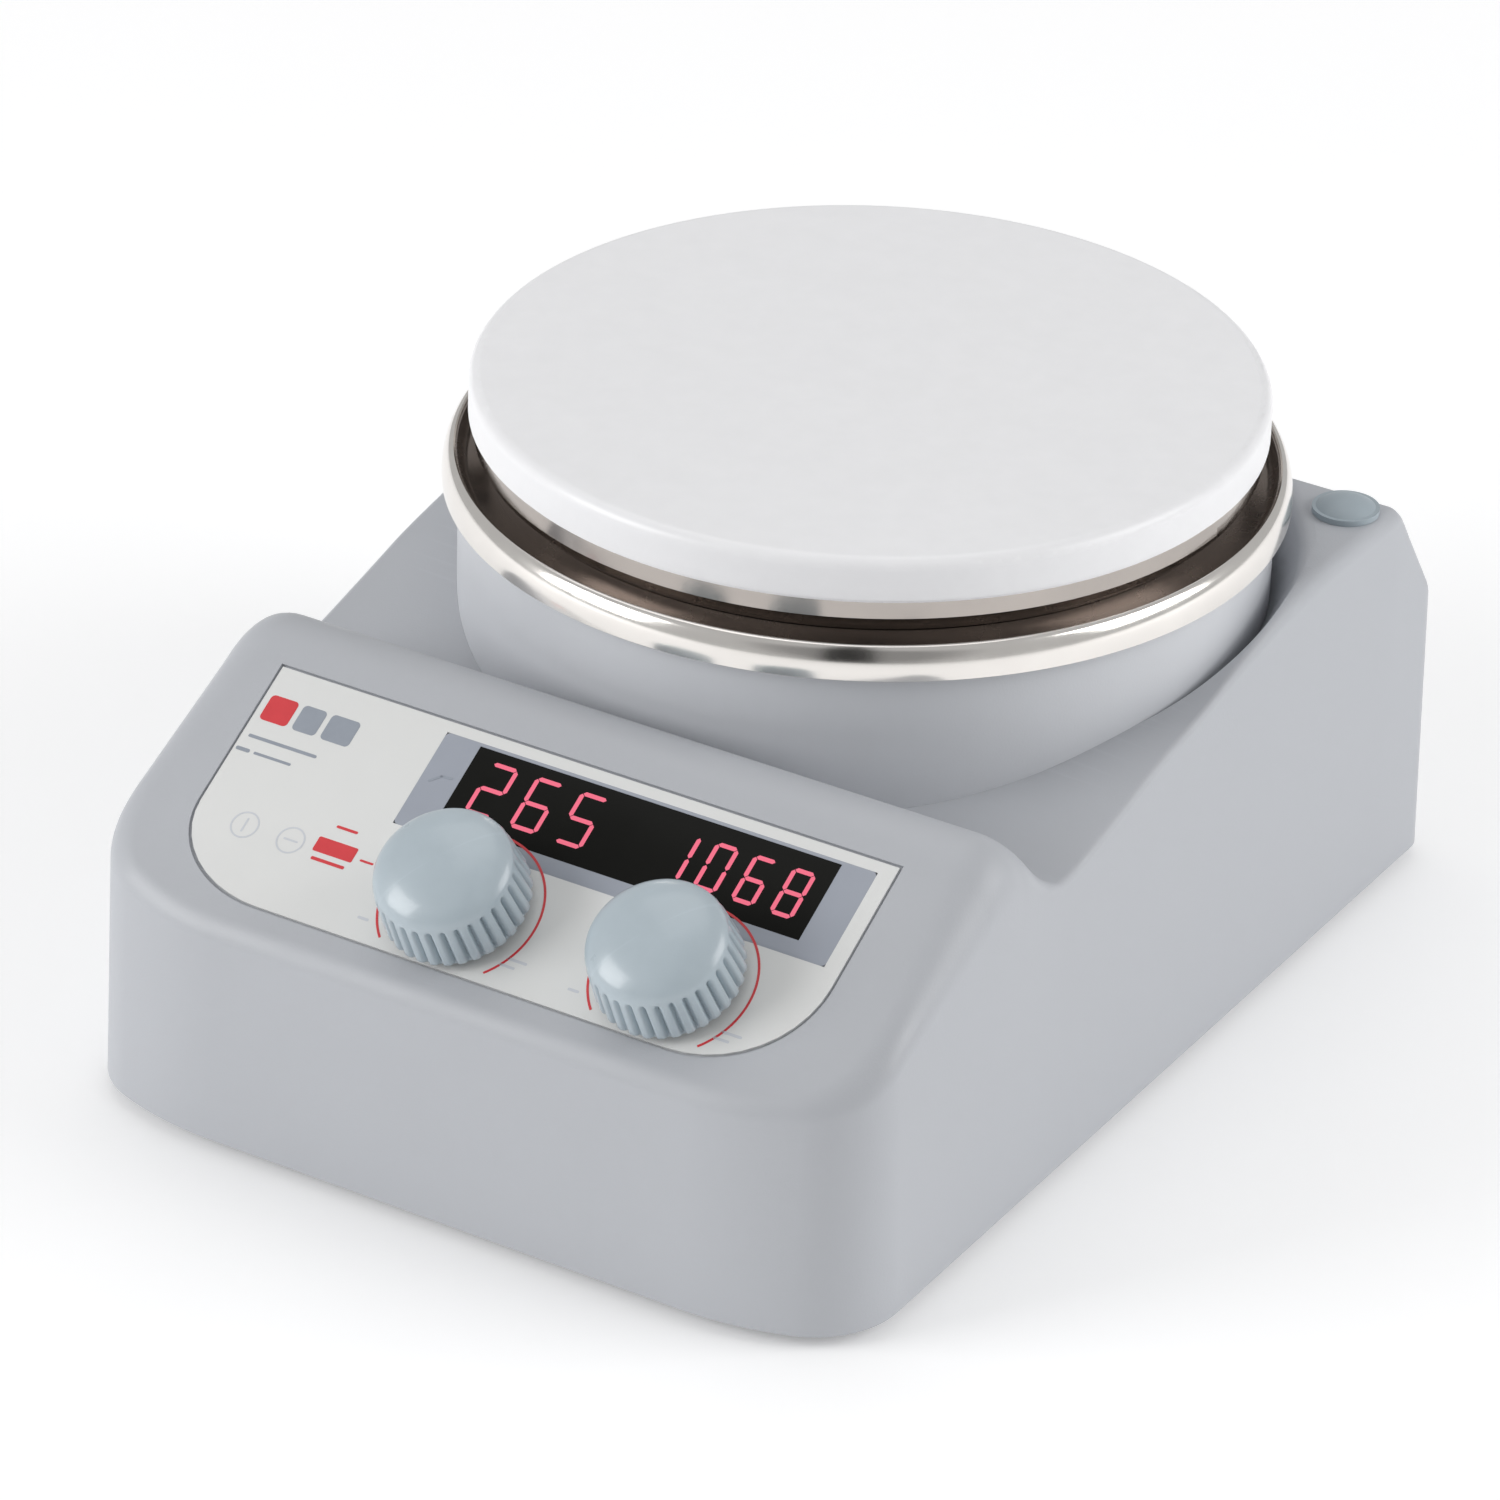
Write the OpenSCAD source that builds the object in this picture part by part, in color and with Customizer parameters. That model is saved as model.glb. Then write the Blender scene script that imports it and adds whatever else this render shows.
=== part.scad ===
// Hotplate magnetic stirrer: heated ceramic plate over a motor that spins two magnets.
// The origin is the centre of the footprint on the bench. X is to the right, Y to the back, Z up.

/* [Housing] */
// Width of the housing at its bottom edge
body_w = 150; // [130:1:180]
// Depth of the housing from the front wall to the rear wall
body_d = 203; // [185:1:240]
// Height of the gap that the feet leave under the housing
foot_gap = 2.5; // [1.5:0.5:6]
// Height where the sloping panel meets the front wall
front_h = 41.5; // [36:0.5:50]
// Angle of the sloping panel from level
panel_angle = 30.4; // [24:0.2:34]
// Height of the ridge behind the sloping panel
ridge_h = 70.3; // [66:0.1:74]
// Height of the lowest line of the valley behind the ridge
valley_h = 56.8; // [54:0.1:62]
// Height of the flat deck at the back
deck_h = 74.3; // [66:0.1:78]
// Thickness of the housing walls
wall = 2.5; // [1.8:0.1:3.5]

/* [Plate] */
// Diameter of the ceramic coated plate
plate_d = 135; // [120:1:140]
// Thickness of the plate
plate_t = 8; // [6:0.5:10]
// Height of the top of the plate above the bench
plate_top = 102; // [98:0.5:108]
// Distance of the plate axis behind the centre of the footprint
plate_y = 28.1; // [24:0.5:34]
// Largest diameter of the drip tray
tray_d = 143.8; // [140:0.5:146]

/* [Controls] */
// Diameter of the knobs
knob_d = 25.4; // [20:0.2:27]
// Height of the knobs above the panel
knob_h = 14.5; // [10:0.5:18]
// Travel of a knob when it is pushed
push_travel = 1; // [0.5:0.1:1.5]
// Tilt of the power rocker in its rest position
rocker_tilt = 8; // [4:1:12]

/* [Drive] */
// Diameter of the motor
motor_d = 52; // [40:1:60]
// Distance of each drive magnet from the shaft axis
magnet_r = 20; // [15:0.5:26]

/* [Hidden] */
$fn = 96;
e = 0.01;
hw = body_w / 2;
yf = -102;
yr = yf + body_d;
slope = tan(panel_angle);
draft = 0.02;
corner_a = 56;
corner_b = 16;
corner_turn = 20;
corner_r = 6;

// Side profile of the top: distance from the front, height, slope
K = [[0, front_h, slope], [46, front_h + 46 * slope, slope], [52.5, ridge_h, 0], [57.5, ridge_h - 2.2, -1],
  [63, valley_h + 3.8, -1.2], [69.5, valley_h, 0], [78, valley_h + 1.4, 0.25], [96, valley_h + 6, 0.27],
  [117, deck_h - 7.3, 0.22], [131, deck_h - 4, 0.22], [147, deck_h - 0.9, 0.1], [184.6, deck_h, 0],
  [187, deck_h - 2.5, -1.4], [189, deck_h - 5.7, -1.52],
  [body_d, deck_h - 5.7 - 1.52 * (body_d - 189), -1.52]];
function span(d, i = 0) = (i >= len(K) - 2 || d < K[i + 1][0]) ? i : span(d, i + 1);
function top_z(d) =
  let (i = span(d), a = K[i], b = K[i + 1], h = b[0] - a[0], t = (d - a[0]) / h)
  (2 * t^3 - 3 * t^2 + 1) * a[1] + (t^3 - 2 * t^2 + t) * h * a[2]
  + (3 * t^2 - 2 * t^3) * b[1] + (t^3 - t^2) * h * b[2];

// Right half of the plan outline: x, y, normal x, normal y, largest edge rounding
side_d = [25, 30, 35, 40, 43, 46, 48, 50, 52, 54, 56, 58, 60, 62, 64, 66, 68, 70, 73, 77, 81, 86, 91, 96, 102,
  109, 117, 124, 131, 139, 147, 165, 184.6, 187, 189];
function edge_r(d) = d < 45 ? 5.5 + max(0, d - 20) * 0.16 : d < 56 ? 9.5 : d < 66 ? 9.5 - (d - 56) * 0.8
  : d < 120 ? 1.5 : min(3.4, 1.5 + (d - 120) * 0.07);
// The front corner is a wide arc that turns into a tight one
turn_x = hw - corner_b * (1 - sin(corner_turn));
arc_x = turn_x - corner_a * sin(corner_turn);
arc_y = yf + corner_a * (1 - cos(corner_turn));
R_PTS = concat(
  [for (a = [0:5:corner_turn]) [arc_x + corner_a * sin(a), yf + corner_a * (1 - cos(a)), sin(a), -cos(a),
    2.6 + 2.9 * sin(a)^2]],
  [for (i = [1:7]) let (a = corner_turn + (90 - corner_turn) * i / 7) [turn_x + corner_b * (sin(a) - sin(corner_turn)),
    arc_y + corner_b * (cos(corner_turn) - cos(a)), sin(a), -cos(a), 2.6 + 2.9 * sin(a)^2]],
  [for (d = side_d) [hw, yf + d, 1, 0, edge_r(d)]],
  [for (a = [0:15:90]) [hw - corner_r + corner_r * cos(a), yr - corner_r + corner_r * sin(a), cos(a),
    sin(a), 1.5]]);
PTS = concat(R_PTS, [for (i = [len(R_PTS) - 1:-1:0]) [-R_PTS[i][0], R_PTS[i][1], -R_PTS[i][2], R_PTS[i][3],
  R_PTS[i][4]]]);

// One ring of the skin at angle a of the edge rounding, from 0 at the wall to 90 at the top
function ring(a, inset, drop) = [for (p = PTS)
  let (r = max(p[4] - inset, 1), k = inset + draft * 50 + r * (1 - cos(a)), x = p[0] - k * p[2],
    y = p[1] - k * p[3])
  [x, y, top_z(y - yf) - drop - r * (1 - sin(a))]];
function foot_ring(z, inset) = [for (p = PTS)
  let (k = inset + draft * max(z - foot_gap, 0)) [p[0] - k * p[2], p[1] - k * p[3], z]];

module skin(inset, drop, z0, steps) {
  rings = concat([foot_ring(z0, inset)], [for (i = [0:steps]) ring(i * 90 / steps, inset, drop)]);
  n = len(PTS);
  m = len(rings);
  h = n / 2;
  points = [for (g = rings) for (p = g) p];
  walls = [for (k = [0:m - 2]) for (i = [0:n - 1]) let (j = (i + 1) % n)
    for (f = [[k * n + i, (k + 1) * n + j, k * n + j], [k * n + i, (k + 1) * n + i, (k + 1) * n + j]]) f];
  t = (m - 1) * n;
  top = [for (i = [0:h - 2]) for (f = [[t + i, t + n - 1 - i, t + i + 1],
    [t + i + 1, t + n - 1 - i, t + n - 2 - i]]) f];
  low = [for (i = [0:h - 2]) for (f = [[i, i + 1, n - 1 - i], [i + 1, n - 2 - i, n - 1 - i]]) f];
  polyhedron(points = points, faces = concat(walls, top, low), convexity = 6);
}

// Puts a child on the sloping panel: across, up the slope from the front wall, and out of the panel
module on_panel(x, s, lift = 0) {
  translate([0, yf, front_h]) rotate([panel_angle, 0, 0]) translate([x, s, lift]) children();
}

// Sizes on the sloping panel
label_x0 = -59.8;
label_x1 = 58.2;
label_s0 = 7.5;
label_s1 = 50;
sur = [-26.2, 29.4, 55.3, 48];
win = [-19.4, 32.4, 49, 47.4];
knob_x = [-7.2, 32.9];
knob_s = 19.3;
plug_p = [66.2, 77];
plug_r = 5.8;
inlet_x = -34;
inlet_z = 28;
probe_p = [28, 32];
switch_p = [-12, 27];
screw_p = [[-58, -80], [58, -80], [-64, 65], [64, 65]];
boss_top = [50.6, 50.6, 72.4, 72.4];
foot_p = [[-44, -82], [44, -82], [-50, 82], [50, 82]];
plate_z = plate_top - plate_t;
dip_z = deck_h - 8.7;
collar_r = tray_d / 2 - 2.8;

module label_shape(grow) {
  pts = concat([[label_x0 - grow, label_s1 + grow]],
    [for (a = [0:9:90]) [label_x0 - grow + 20 * (1 - cos(a)), label_s0 + 15 - (15 + grow) * sin(a)]],
    [for (a = [90:-9:0]) [label_x1 + grow - 20 * (1 - cos(a)), label_s0 + 19 - (19 + grow) * sin(a)]],
    [[label_x1 + grow, label_s1 + grow]]);
  polygon(pts);
}

module at_plate(z) {
  translate([0, plate_y, z]) children();
}

module plan(inset) {
  pts = [for (p = PTS) [p[0] - inset * p[2], p[1] - inset * p[3]]];
  polygon(pts);
}

module upper_housing() {
  color([0.77, 0.78, 0.80]) difference() {
    union() {
      difference() {
        skin(0, 0, foot_gap, 5);
        difference() {
          skin(wall, wall + 0.6, -1, 2);
          // Leaves a thick ring under the dip around the collar
          at_plate(dip_z - 7.6) cylinder(h = 30, r = 75);
        }
      }
      // Pocket for the power rocker in the left wall
      translate([-hw + 1.4, switch_p[0] - 15, switch_p[1] - 10]) cube([6.6, 30, 20]);
      // Thick backing behind the label
      intersection() {
        skin(0, 0, foot_gap, 5);
        on_panel(-2, 29, -4.2) translate([-62, -24, 0]) cube([124, 48, 3.4]);
      }
      // Bosses for the bottom screws
      for (i = [0:3]) translate([screw_p[i][0], screw_p[i][1], 8]) cylinder(h = boss_top[i] - 8, d = 8);
    }
    // Recess for the label
    on_panel(0, 0, -0.6) linear_extrude(height = 3) label_shape(0.35);
    // Window and shafts
    on_panel(win[0] + 1.2, win[1] + 1.2, -9) cube([win[2] - win[0] - 2.4, win[3] - win[1] - 2.4, 12]);
    for (x = knob_x) on_panel(x, knob_s, -9) cylinder(h = 12, r = 3.6);
    // Dip of the deck around the collar
    at_plate(dip_z) rotate_extrude() polygon([[68.4, -1.65], [74.2, 9.2], [74.2, 25], [68.4, 25]]);
    // Opening for the collar
    at_plate(45) cylinder(h = 40, r = collar_r + 0.3);
    // Power rocker pocket and its hole
    translate([-hw - 1, switch_p[0] - 13, switch_p[1] - 8]) cube([5.4, 26, 16]);
    translate([-hw + 2, switch_p[0] - 10.5, switch_p[1] - 5.5]) cube([12, 21, 11]);
    // Openings for the power inlet and the probe socket
    translate([inlet_x - 14, yr - 12, inlet_z - 16.5]) cube([28, 24, 33]);
    translate([inlet_x - 16.1, yr - 1, inlet_z - 18.6]) cube([32.2, 6, 37.2]);
    translate([probe_p[0], yr + 5, probe_p[1]]) rotate([90, 0, 0]) cylinder(h = 20, r = 7.1);
    translate([probe_p[0], yr + 5, probe_p[1]]) rotate([90, 0, 0]) cylinder(h = 6, r = 9.1);
    // Hole for the plug
    translate([plug_p[0], plug_p[1], 60]) cylinder(h = 20, r = 4.5);
    // Pilot holes in the bosses
    for (p = screw_p) translate([p[0], p[1], 7]) cylinder(h = 14, r = 1.4);
  }
}

module base_plate() {
  color([0.32, 0.33, 0.35]) difference() {
    union() {
      translate([0, 0, foot_gap + 0.3]) linear_extrude(height = 2) plan(wall + 0.25);
      for (p = screw_p) translate([p[0], p[1], foot_gap + 1]) cylinder(h = 4.4, d = 8);
    }
    for (p = screw_p) translate([p[0], p[1], -1]) cylinder(h = 12, r = 1.7);
    for (p = screw_p) translate([p[0], p[1], -1]) cylinder(h = 4.9, r = 3.3);
    for (x = [-1, 1]) for (i = [0:7]) translate([x * 47 - 10, -26 + i * 7, 0]) cube([20, 2.4, 8]);
    for (p = foot_p) translate([p[0], p[1], -1]) cylinder(h = 12, r = 2.1);
  }
}

module rubber_feet() {
  color([0.10, 0.10, 0.11]) for (p = foot_p) translate([p[0], p[1], 0]) {
    rotate_extrude() polygon([[0, 0.9], [3, 0.9], [3.6, 0], [7, 0], [7.8, 0.8], [7.8, foot_gap + 0.3],
      [2, foot_gap + 0.3], [2, foot_gap + 2.3], [3, foot_gap + 2.3], [1.4, foot_gap + 4.6],
        [0, foot_gap + 4.6]]);
  }
}

module base_screws() {
  color([0.7, 0.7, 0.72]) for (p = screw_p) translate([p[0], p[1], 0]) difference() {
    union() {
      translate([0, 0, 2]) cylinder(h = 1.9, r = 2.9);
      translate([0, 0, 3.8]) cylinder(h = 16, r = 1.4);
    }
    translate([0, 0, 1.9]) cylinder(h = 1.1, r = 1.3, $fn = 6);
  }
}

module collar() {
  color([0.75, 0.76, 0.78]) difference() {
    at_plate(0) rotate_extrude() polygon([[66.4, 50], [collar_r, 50], [collar_r, 82.8],
      [66.6, 82.8], [66.6, 80.2], [64.4, 78], [58, 78], [58, 76], [66.4, 76]]);
    at_plate(70) for (a = [30:120:270]) rotate([0, 0, a]) translate([60.8, 0, 0]) cylinder(h = 12, r = 1.3);
  }
  color([0.75, 0.76, 0.78]) at_plate(50) for (a = [45:90:315]) rotate([0, 0, a]) difference() {
    translate([66.2, -4, 0]) cube([7, 8, 3]);
    translate([71.1, 0, -1]) cylinder(h = 6, r = 1.5);
  }
}

module collar_screws() {
  color([0.7, 0.7, 0.72]) at_plate(0) for (a = [45:90:315]) rotate([0, 0, a]) translate([71.1, 0, 0]) {
    translate([0, 0, 48]) cylinder(h = 2, r = 2.6);
    translate([0, 0, 49.9]) cylinder(h = 4, r = 1.4);
  }
}

module drip_tray() {
  r = tray_d / 2;
  color([0.82, 0.81, 0.79]) at_plate(0) rotate_extrude()
    polygon([[r, 82.3], [r - 0.4, 82.1], [r - 3.6, 86.0], [r - 4.2, 86.1],
    [r - 5.6, 84.6], [63.1, 84.6], [63.1, 87.6], [63.9, 87.6], [63.9, 85.4], [r - 5.8, 85.4],
      [r - 4.5, 86.9], [r - 3.2, 87.0], [r - 2.5, 86.6], [r, 83.1]]);
}

module heater_pan() {
  r = plate_d / 2 - 0.9;
  color([0.80, 0.79, 0.77]) at_plate(0) difference() {
    rotate_extrude() polygon([[0, 88], [r - 2.2, 88], [r - 0.8, 89.4], [r, 91], [r, plate_z - e],
      [r - 0.9, plate_z - e], [r - 0.9, 91.2],
      [r - 1.5, 90], [r - 2.4, 88.9], [0, 88.9]]);
    for (a = [30:120:270]) rotate([0, 0, a]) translate([60.8, 0, 80]) cylinder(h = 12, r = 1.6);
  }
}

module heating_element() {
  color([0.55, 0.45, 0.35]) at_plate(90) difference() {
    cylinder(h = plate_z - 90 - 0.1, r = 57);
    translate([0, 0, -1]) cylinder(h = 10, r = 9);
    for (r = [16:7:51]) translate([0, 0, -1]) difference() {
      cylinder(h = 2, r = r + 1.5);
      translate([0, 0, -1]) cylinder(h = 4, r = r - 1.5);
    }
  }
}

module insulation_disc() {
  color([0.85, 0.83, 0.76]) at_plate(79.4) difference() {
    cylinder(h = 4, r = 56);
    translate([0, 0, -1]) cylinder(h = 8, r = 5);
  }
}

module plate_sensor() {
  color([0.6, 0.6, 0.62]) at_plate(0) {
    translate([0, 0, 89]) cylinder(h = plate_z - 89.1, r = 3);
    translate([0, 0, 83.5]) cylinder(h = 4.4, r = 1.6);
  }
}

module top_plate() {
  r = plate_d / 2;
  color([0.90, 0.90, 0.89]) at_plate(0) rotate_extrude() difference() {
    union() {
      translate([0, plate_z]) square([r - 2, plate_t]);
      translate([0, plate_z + 0.8]) square([r, plate_t - 2.8]);
      translate([r - 2, plate_z + plate_t - 2]) circle(r = 2);
      translate([r - 2, plate_z]) square([1.2, 2]);
    }
    translate([-1, plate_z - 1]) square([1, plate_t + 2]);
  }
}

module shield_plate() {
  color([0.74, 0.74, 0.75]) at_plate(78) difference() {
    cylinder(h = 1, r = 63.4);
    translate([0, 0, -1]) cylinder(h = 3, r = 5);
    for (a = [30:120:270]) rotate([0, 0, a]) translate([60.8, 0, -1]) cylinder(h = 12, r = 1.6);
  }
}

module plate_posts() {
  color([0.72, 0.72, 0.73]) at_plate(0) for (a = [30:120:270]) rotate([0, 0, a]) translate([60.8, 0, 0]) {
    translate([0, 0, 79]) cylinder(h = 9, r = 2.1);
    translate([0, 0, 71]) cylinder(h = 8.1, r = 1.25);
    translate([0, 0, 87.9]) cylinder(h = 3.5, r = 1.5);
  }
}

module post_nuts() {
  color([0.7, 0.7, 0.72]) at_plate(0) for (a = [30:120:270]) rotate([0, 0, a]) translate([60.8, 0, 0]) {
    for (z = [73.4, 88.9]) translate([0, 0, z]) difference() {
      cylinder(h = z < 80 ? 2.4 : 2, r = 2.9, $fn = 6);
      translate([0, 0, -1]) cylinder(h = 5, r = z < 80 ? 1.25 : 1.5);
    }
  }
}

module motor_body() {
  color([0.45, 0.46, 0.48]) at_plate(0) difference() {
    union() {
      translate([0, 0, 16]) cylinder(h = 30, d = motor_d);
      translate([0, 0, 46]) cylinder(h = 4, r = 9);
      translate([0, 0, 13]) cylinder(h = 3.1, r = 7);
    }
    translate([0, 0, 12]) cylinder(h = 40, r = 2.56);
  }
}

module motor_bracket() {
  color([0.70, 0.71, 0.72]) at_plate(46) difference() {
    union() {
      cylinder(h = 2, r = 32);
      for (a = [0:90:270]) rotate([0, 0, a + 45]) translate([0, -6, 0]) cube([46, 12, 2]);
    }
    translate([0, 0, -1]) cylinder(h = 4, r = 9.05);
    for (a = [45:90:315]) rotate([0, 0, a]) translate([40, 0, -1]) cylinder(h = 4, r = 1.7);
  }
}

module bracket_posts() {
  color([0.72, 0.72, 0.73]) at_plate(0) for (a = [45:90:315]) rotate([0, 0, a]) translate([40, 0, 0])
    difference() {
    translate([0, 0, foot_gap + 2.3]) cylinder(h = 46 - foot_gap - 2.3, r = 3.5);
    translate([0, 0, 36]) cylinder(h = 12, r = 1.4);
  }
}

module bracket_screws() {
  color([0.7, 0.7, 0.72]) at_plate(0) for (a = [45:90:315]) rotate([0, 0, a]) translate([40, 0, 0]) {
    translate([0, 0, 48]) cylinder(h = 2, r = 2.9);
    translate([0, 0, 38]) cylinder(h = 10.1, r = 1.4);
  }
}

module motor_shaft() {
  color([0.75, 0.75, 0.76]) at_plate(0) difference() {
    translate([0, 0, 14]) cylinder(h = 48, r = 2.5);
    translate([0, 0, 54]) cylinder(h = 9, r = 1.25);
  }
}

module magnet_carrier() {
  color([0.50, 0.51, 0.53]) at_plate(0) difference() {
    union() {
      translate([0, 0, 58]) cylinder(h = 4, r = magnet_r + 10);
      translate([0, 0, 51]) cylinder(h = 7.1, r = 7);
    }
    translate([0, 0, 50]) cylinder(h = 20, r = 2.52);
    for (a = [0, 180]) rotate([0, 0, a]) translate([magnet_r, 0, 60.5]) cylinder(h = 4, r = 8.05);
    for (a = [90, 270]) rotate([0, 0, a]) translate([magnet_r, 0, 50]) cylinder(h = 20, r = 6);
  }
}

module drive_magnets() {
  color([0.25, 0.25, 0.27]) at_plate(60.5) for (a = [0, 180]) rotate([0, 0, a]) translate([magnet_r, 0, 0])
    cylinder(h = 11, r = 8);
}

module carrier_screw() {
  color([0.7, 0.7, 0.72]) at_plate(0) difference() {
    union() {
      translate([0, 0, 62]) cylinder(h = 2.4, r = 4.2);
      translate([0, 0, 55]) cylinder(h = 7.1, r = 1.25);
    }
    translate([0, 0, 63]) cylinder(h = 3, r = 1.6, $fn = 6);
  }
}

module control_label() {
  color([0.90, 0.90, 0.89]) on_panel(0, 0, -0.6) difference() {
    linear_extrude(height = 0.6) label_shape(0);
    translate([sur[0], sur[1], -1]) cube([sur[2] - sur[0], sur[3] - sur[1], 3]);
    for (x = knob_x) translate([x, knob_s, -1]) cylinder(h = 3, r = 3.6);
  }
}

module display_surround() {
  color([0.58, 0.60, 0.64]) on_panel(0, 0, -0.6) difference() {
    translate([sur[0], sur[1], 0]) cube([sur[2] - sur[0], sur[3] - sur[1], 0.6]);
    translate([win[0], win[1], -1]) cube([win[2] - win[0], win[3] - win[1], 3]);
  }
}

// Lit segments of one character, from top, upper right, lower right, bottom, lower left, upper left, middle
seg_t = 0.9;
module bar(a, b) {
  d = b - a;
  l = norm(d);
  translate([a[0], a[1], 0]) rotate([0, 0, atan2(d[1], d[0])]) translate([0.25, -seg_t / 2, 0])
    cube([l - 0.5, seg_t, 0.5]);
}
module character(on, width, height) {
  w = width / 2;
  h = height / 2;
  p = [[-w, h], [w, h], [w, 0], [w, -h], [-w, -h], [-w, 0]];
  pairs = [[p[0], p[1]], [p[1], p[2]], [p[2], p[3]], [p[4], p[3]], [p[5], p[4]], [p[0], p[5]], [p[5], p[2]]];
  for (i = [0:6]) if (on[i] == 1) bar(pairs[i][0], pairs[i][1]);
}
digit_x = [-13.3, -4.7, 3.9, 22.6, 29.6, 36.7, 43.9];
digit_on = [[1, 1, 0, 1, 1, 0, 1], [1, 0, 1, 1, 1, 1, 1], [1, 0, 1, 1, 0, 1, 1], [0, 1, 1, 0, 0, 0, 0],
  [1, 1, 1, 1, 1, 1, 0], [1, 0, 1, 1, 1, 1, 1], [1, 1, 1, 1, 1, 1, 1]];

// The left group of three is larger than the right group of four
module characters() {
  for (i = [0:6]) translate([digit_x[i], i < 3 ? 40.4 : 39.9, 0])
    character(digit_on[i], i < 3 ? 4.5 : 3.6, i < 3 ? 9.4 : 8.3);
}

module display_window() {
  color([0.08, 0.08, 0.08]) on_panel(0, 0, -0.6) difference() {
    translate([win[0], win[1], 0]) cube([win[2] - win[0], win[3] - win[1], 0.6]);
    translate([0, 0, 0.3]) characters();
  }
}

module led_digits() {
  color([0.93, 0.30, 0.38]) on_panel(0, 0, -0.3) scale([1, 1, 0.6]) characters();
}

module display_board() {
  color([0.10, 0.35, 0.20]) on_panel(0, 0, -12) difference() {
    union() {
      translate([-30, 8, 0]) cube([83, 42, 1.6]);
      for (i = [0, 1]) translate([[-17, 19.5][i], 33.6, 1.5]) cube([28, 12.6, 6.2]);
    }
    for (x = knob_x) translate([x, knob_s, -1]) cylinder(h = 4, r = 3);
    for (p = [[-27, 11], [50, 11], [-27, 47], [50.2, 47]]) translate([p[0], p[1], -1]) cylinder(h = 4, r = 1.6);
  }
}

module board_screws() {
  color([0.7, 0.7, 0.72]) on_panel(0, 0, -12) for (p = [[-27, 11], [50, 11], [-27, 47], [50.2, 47]])
    translate([p[0], p[1], 0]) {
    translate([0, 0, -1.8]) cylinder(h = 1.8, r = 2.6);
    translate([0, 0, -0.1]) cylinder(h = 7.9, r = 1.5);
  }
}

module main_board() {
  color([0.12, 0.38, 0.22]) translate([-52, -78, foot_gap + 6]) {
    cube([82, 50, 1.6]);
    for (p = [[4, 46], [78, 46], [78, 4], [4, 25]]) translate([p[0], p[1], -3.7]) cylinder(h = 3.8, r = 2.5);
  }
}

module board_parts() {
  color([0.16, 0.17, 0.19]) translate([-52, -78, foot_gap + 7.6]) {
    translate([10, 6, 0]) cube([18, 14, 12]);
    translate([34, 8, 0]) cube([20, 10, 4]);
    for (x = [60, 73]) translate([x, 16, 0]) cylinder(h = 12, r = 5);
    for (i = [0:4]) translate([10 + i * 8, 32, 0]) cube([6, 9, 9]);
    translate([58, 30, 0]) difference() {
      cube([20, 12, 14]);
      for (i = [0:3]) translate([2.6 + i * 4.4, -1, 4]) cube([2, 14, 12]);
    }
  }
}

module transformer() {
  color([0.35, 0.33, 0.30]) translate([32, -74, foot_gap + 2.3]) {
    cube([26, 34, 3]);
    translate([3, 3, 2.9]) cube([20, 28, 22]);
    translate([0.5, 9, 6]) cube([25, 16, 16]);
  }
}

module encoder_at(x) {
  color([0.30, 0.32, 0.34]) on_panel(x, knob_s, 0) difference() {
    union() {
      translate([-6.5, -6.5, -10.3]) cube([13, 13, 5.9]);
      translate([0, 0, -4.5]) cylinder(h = 6, r = 3.5);
    }
    translate([0, 0, -13]) cylinder(h = 16, r = 2.5);
  }
}

module plunger_at(x) {
  color([0.85, 0.85, 0.82]) on_panel(x, knob_s, 0) difference() {
    translate([0, 0, -8.6]) cylinder(h = 9.6, r = 2.44);
    translate([0, 0, -10]) cylinder(h = 12, r = 1.9);
  }
}

module spindle_at(x) {
  color([0.80, 0.68, 0.40]) on_panel(x, knob_s, 0) difference() {
    translate([0, 0, -8.6]) cylinder(h = 19.6, r = 1.84);
    translate([1.1, -3, 3]) cube([3, 6, 10]);
  }
}

module knob_at(x) {
  r = knob_d / 2;
  n = 32;
  color([0.66, 0.71, 0.75]) on_panel(x, knob_s, 0) difference() {
    rotate_extrude() difference() {
      union() {
        polygon([[0, 1.6], [r - 0.5, 1.6], [r, 2.1], [r - 0.3, 9], [0, 9]]);
        intersection() {
          translate([0, knob_h - 17.5]) circle(r = 17.5);
          translate([0, 8.9]) square([r - 0.3, 20]);
        }
      }
      polygon([[-1, 0], [5.5, 0], [5.5, 3.2], [-1, 3.2]]);
      polygon([[7, 0], [r - 2, 0], [r - 2.4, 7], [7, 8]]);
    }
    difference() {
      translate([0, 0, -1]) cylinder(h = 12, r = 1.85);
      translate([1.11, -3, -2]) cube([3, 6, 20]);
    }
    for (i = [0:n - 1]) rotate([0, 0, i * 360 / n]) translate([r + 0.15, 0, 1]) cylinder(h = 7.6, r = 0.62);
  }
}

module encoder_nuts() {
  color([0.72, 0.72, 0.73]) for (x = knob_x) on_panel(x, knob_s, 0) difference() {
    cylinder(h = 1.5, r = 5, $fn = 6);
    translate([0, 0, -2]) cylinder(h = 5, r = 3.5);
  }
}

module switch_body() {
  color([0.10, 0.10, 0.11]) translate([-hw, switch_p[0], switch_p[1]]) difference() {
    union() {
      translate([3.2, -12.8, -7.8]) cube([1.2, 25.6, 15.6]);
      translate([4.3, -10.4, -5.4]) cube([15.1, 20.8, 10.8]);
    }
    translate([2, -9.2, -4.2]) cube([14, 18.4, 8.4]);
    translate([9, 0, -5]) cylinder(h = 10, r = 1.26);
  }
  color([0.8, 0.68, 0.4]) translate([-hw + 19.3, switch_p[0], switch_p[1]])
    for (y = [-6, 0, 6]) translate([0, y - 0.4, -2.4]) cube([7, 0.8, 4.8]);
}

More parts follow.
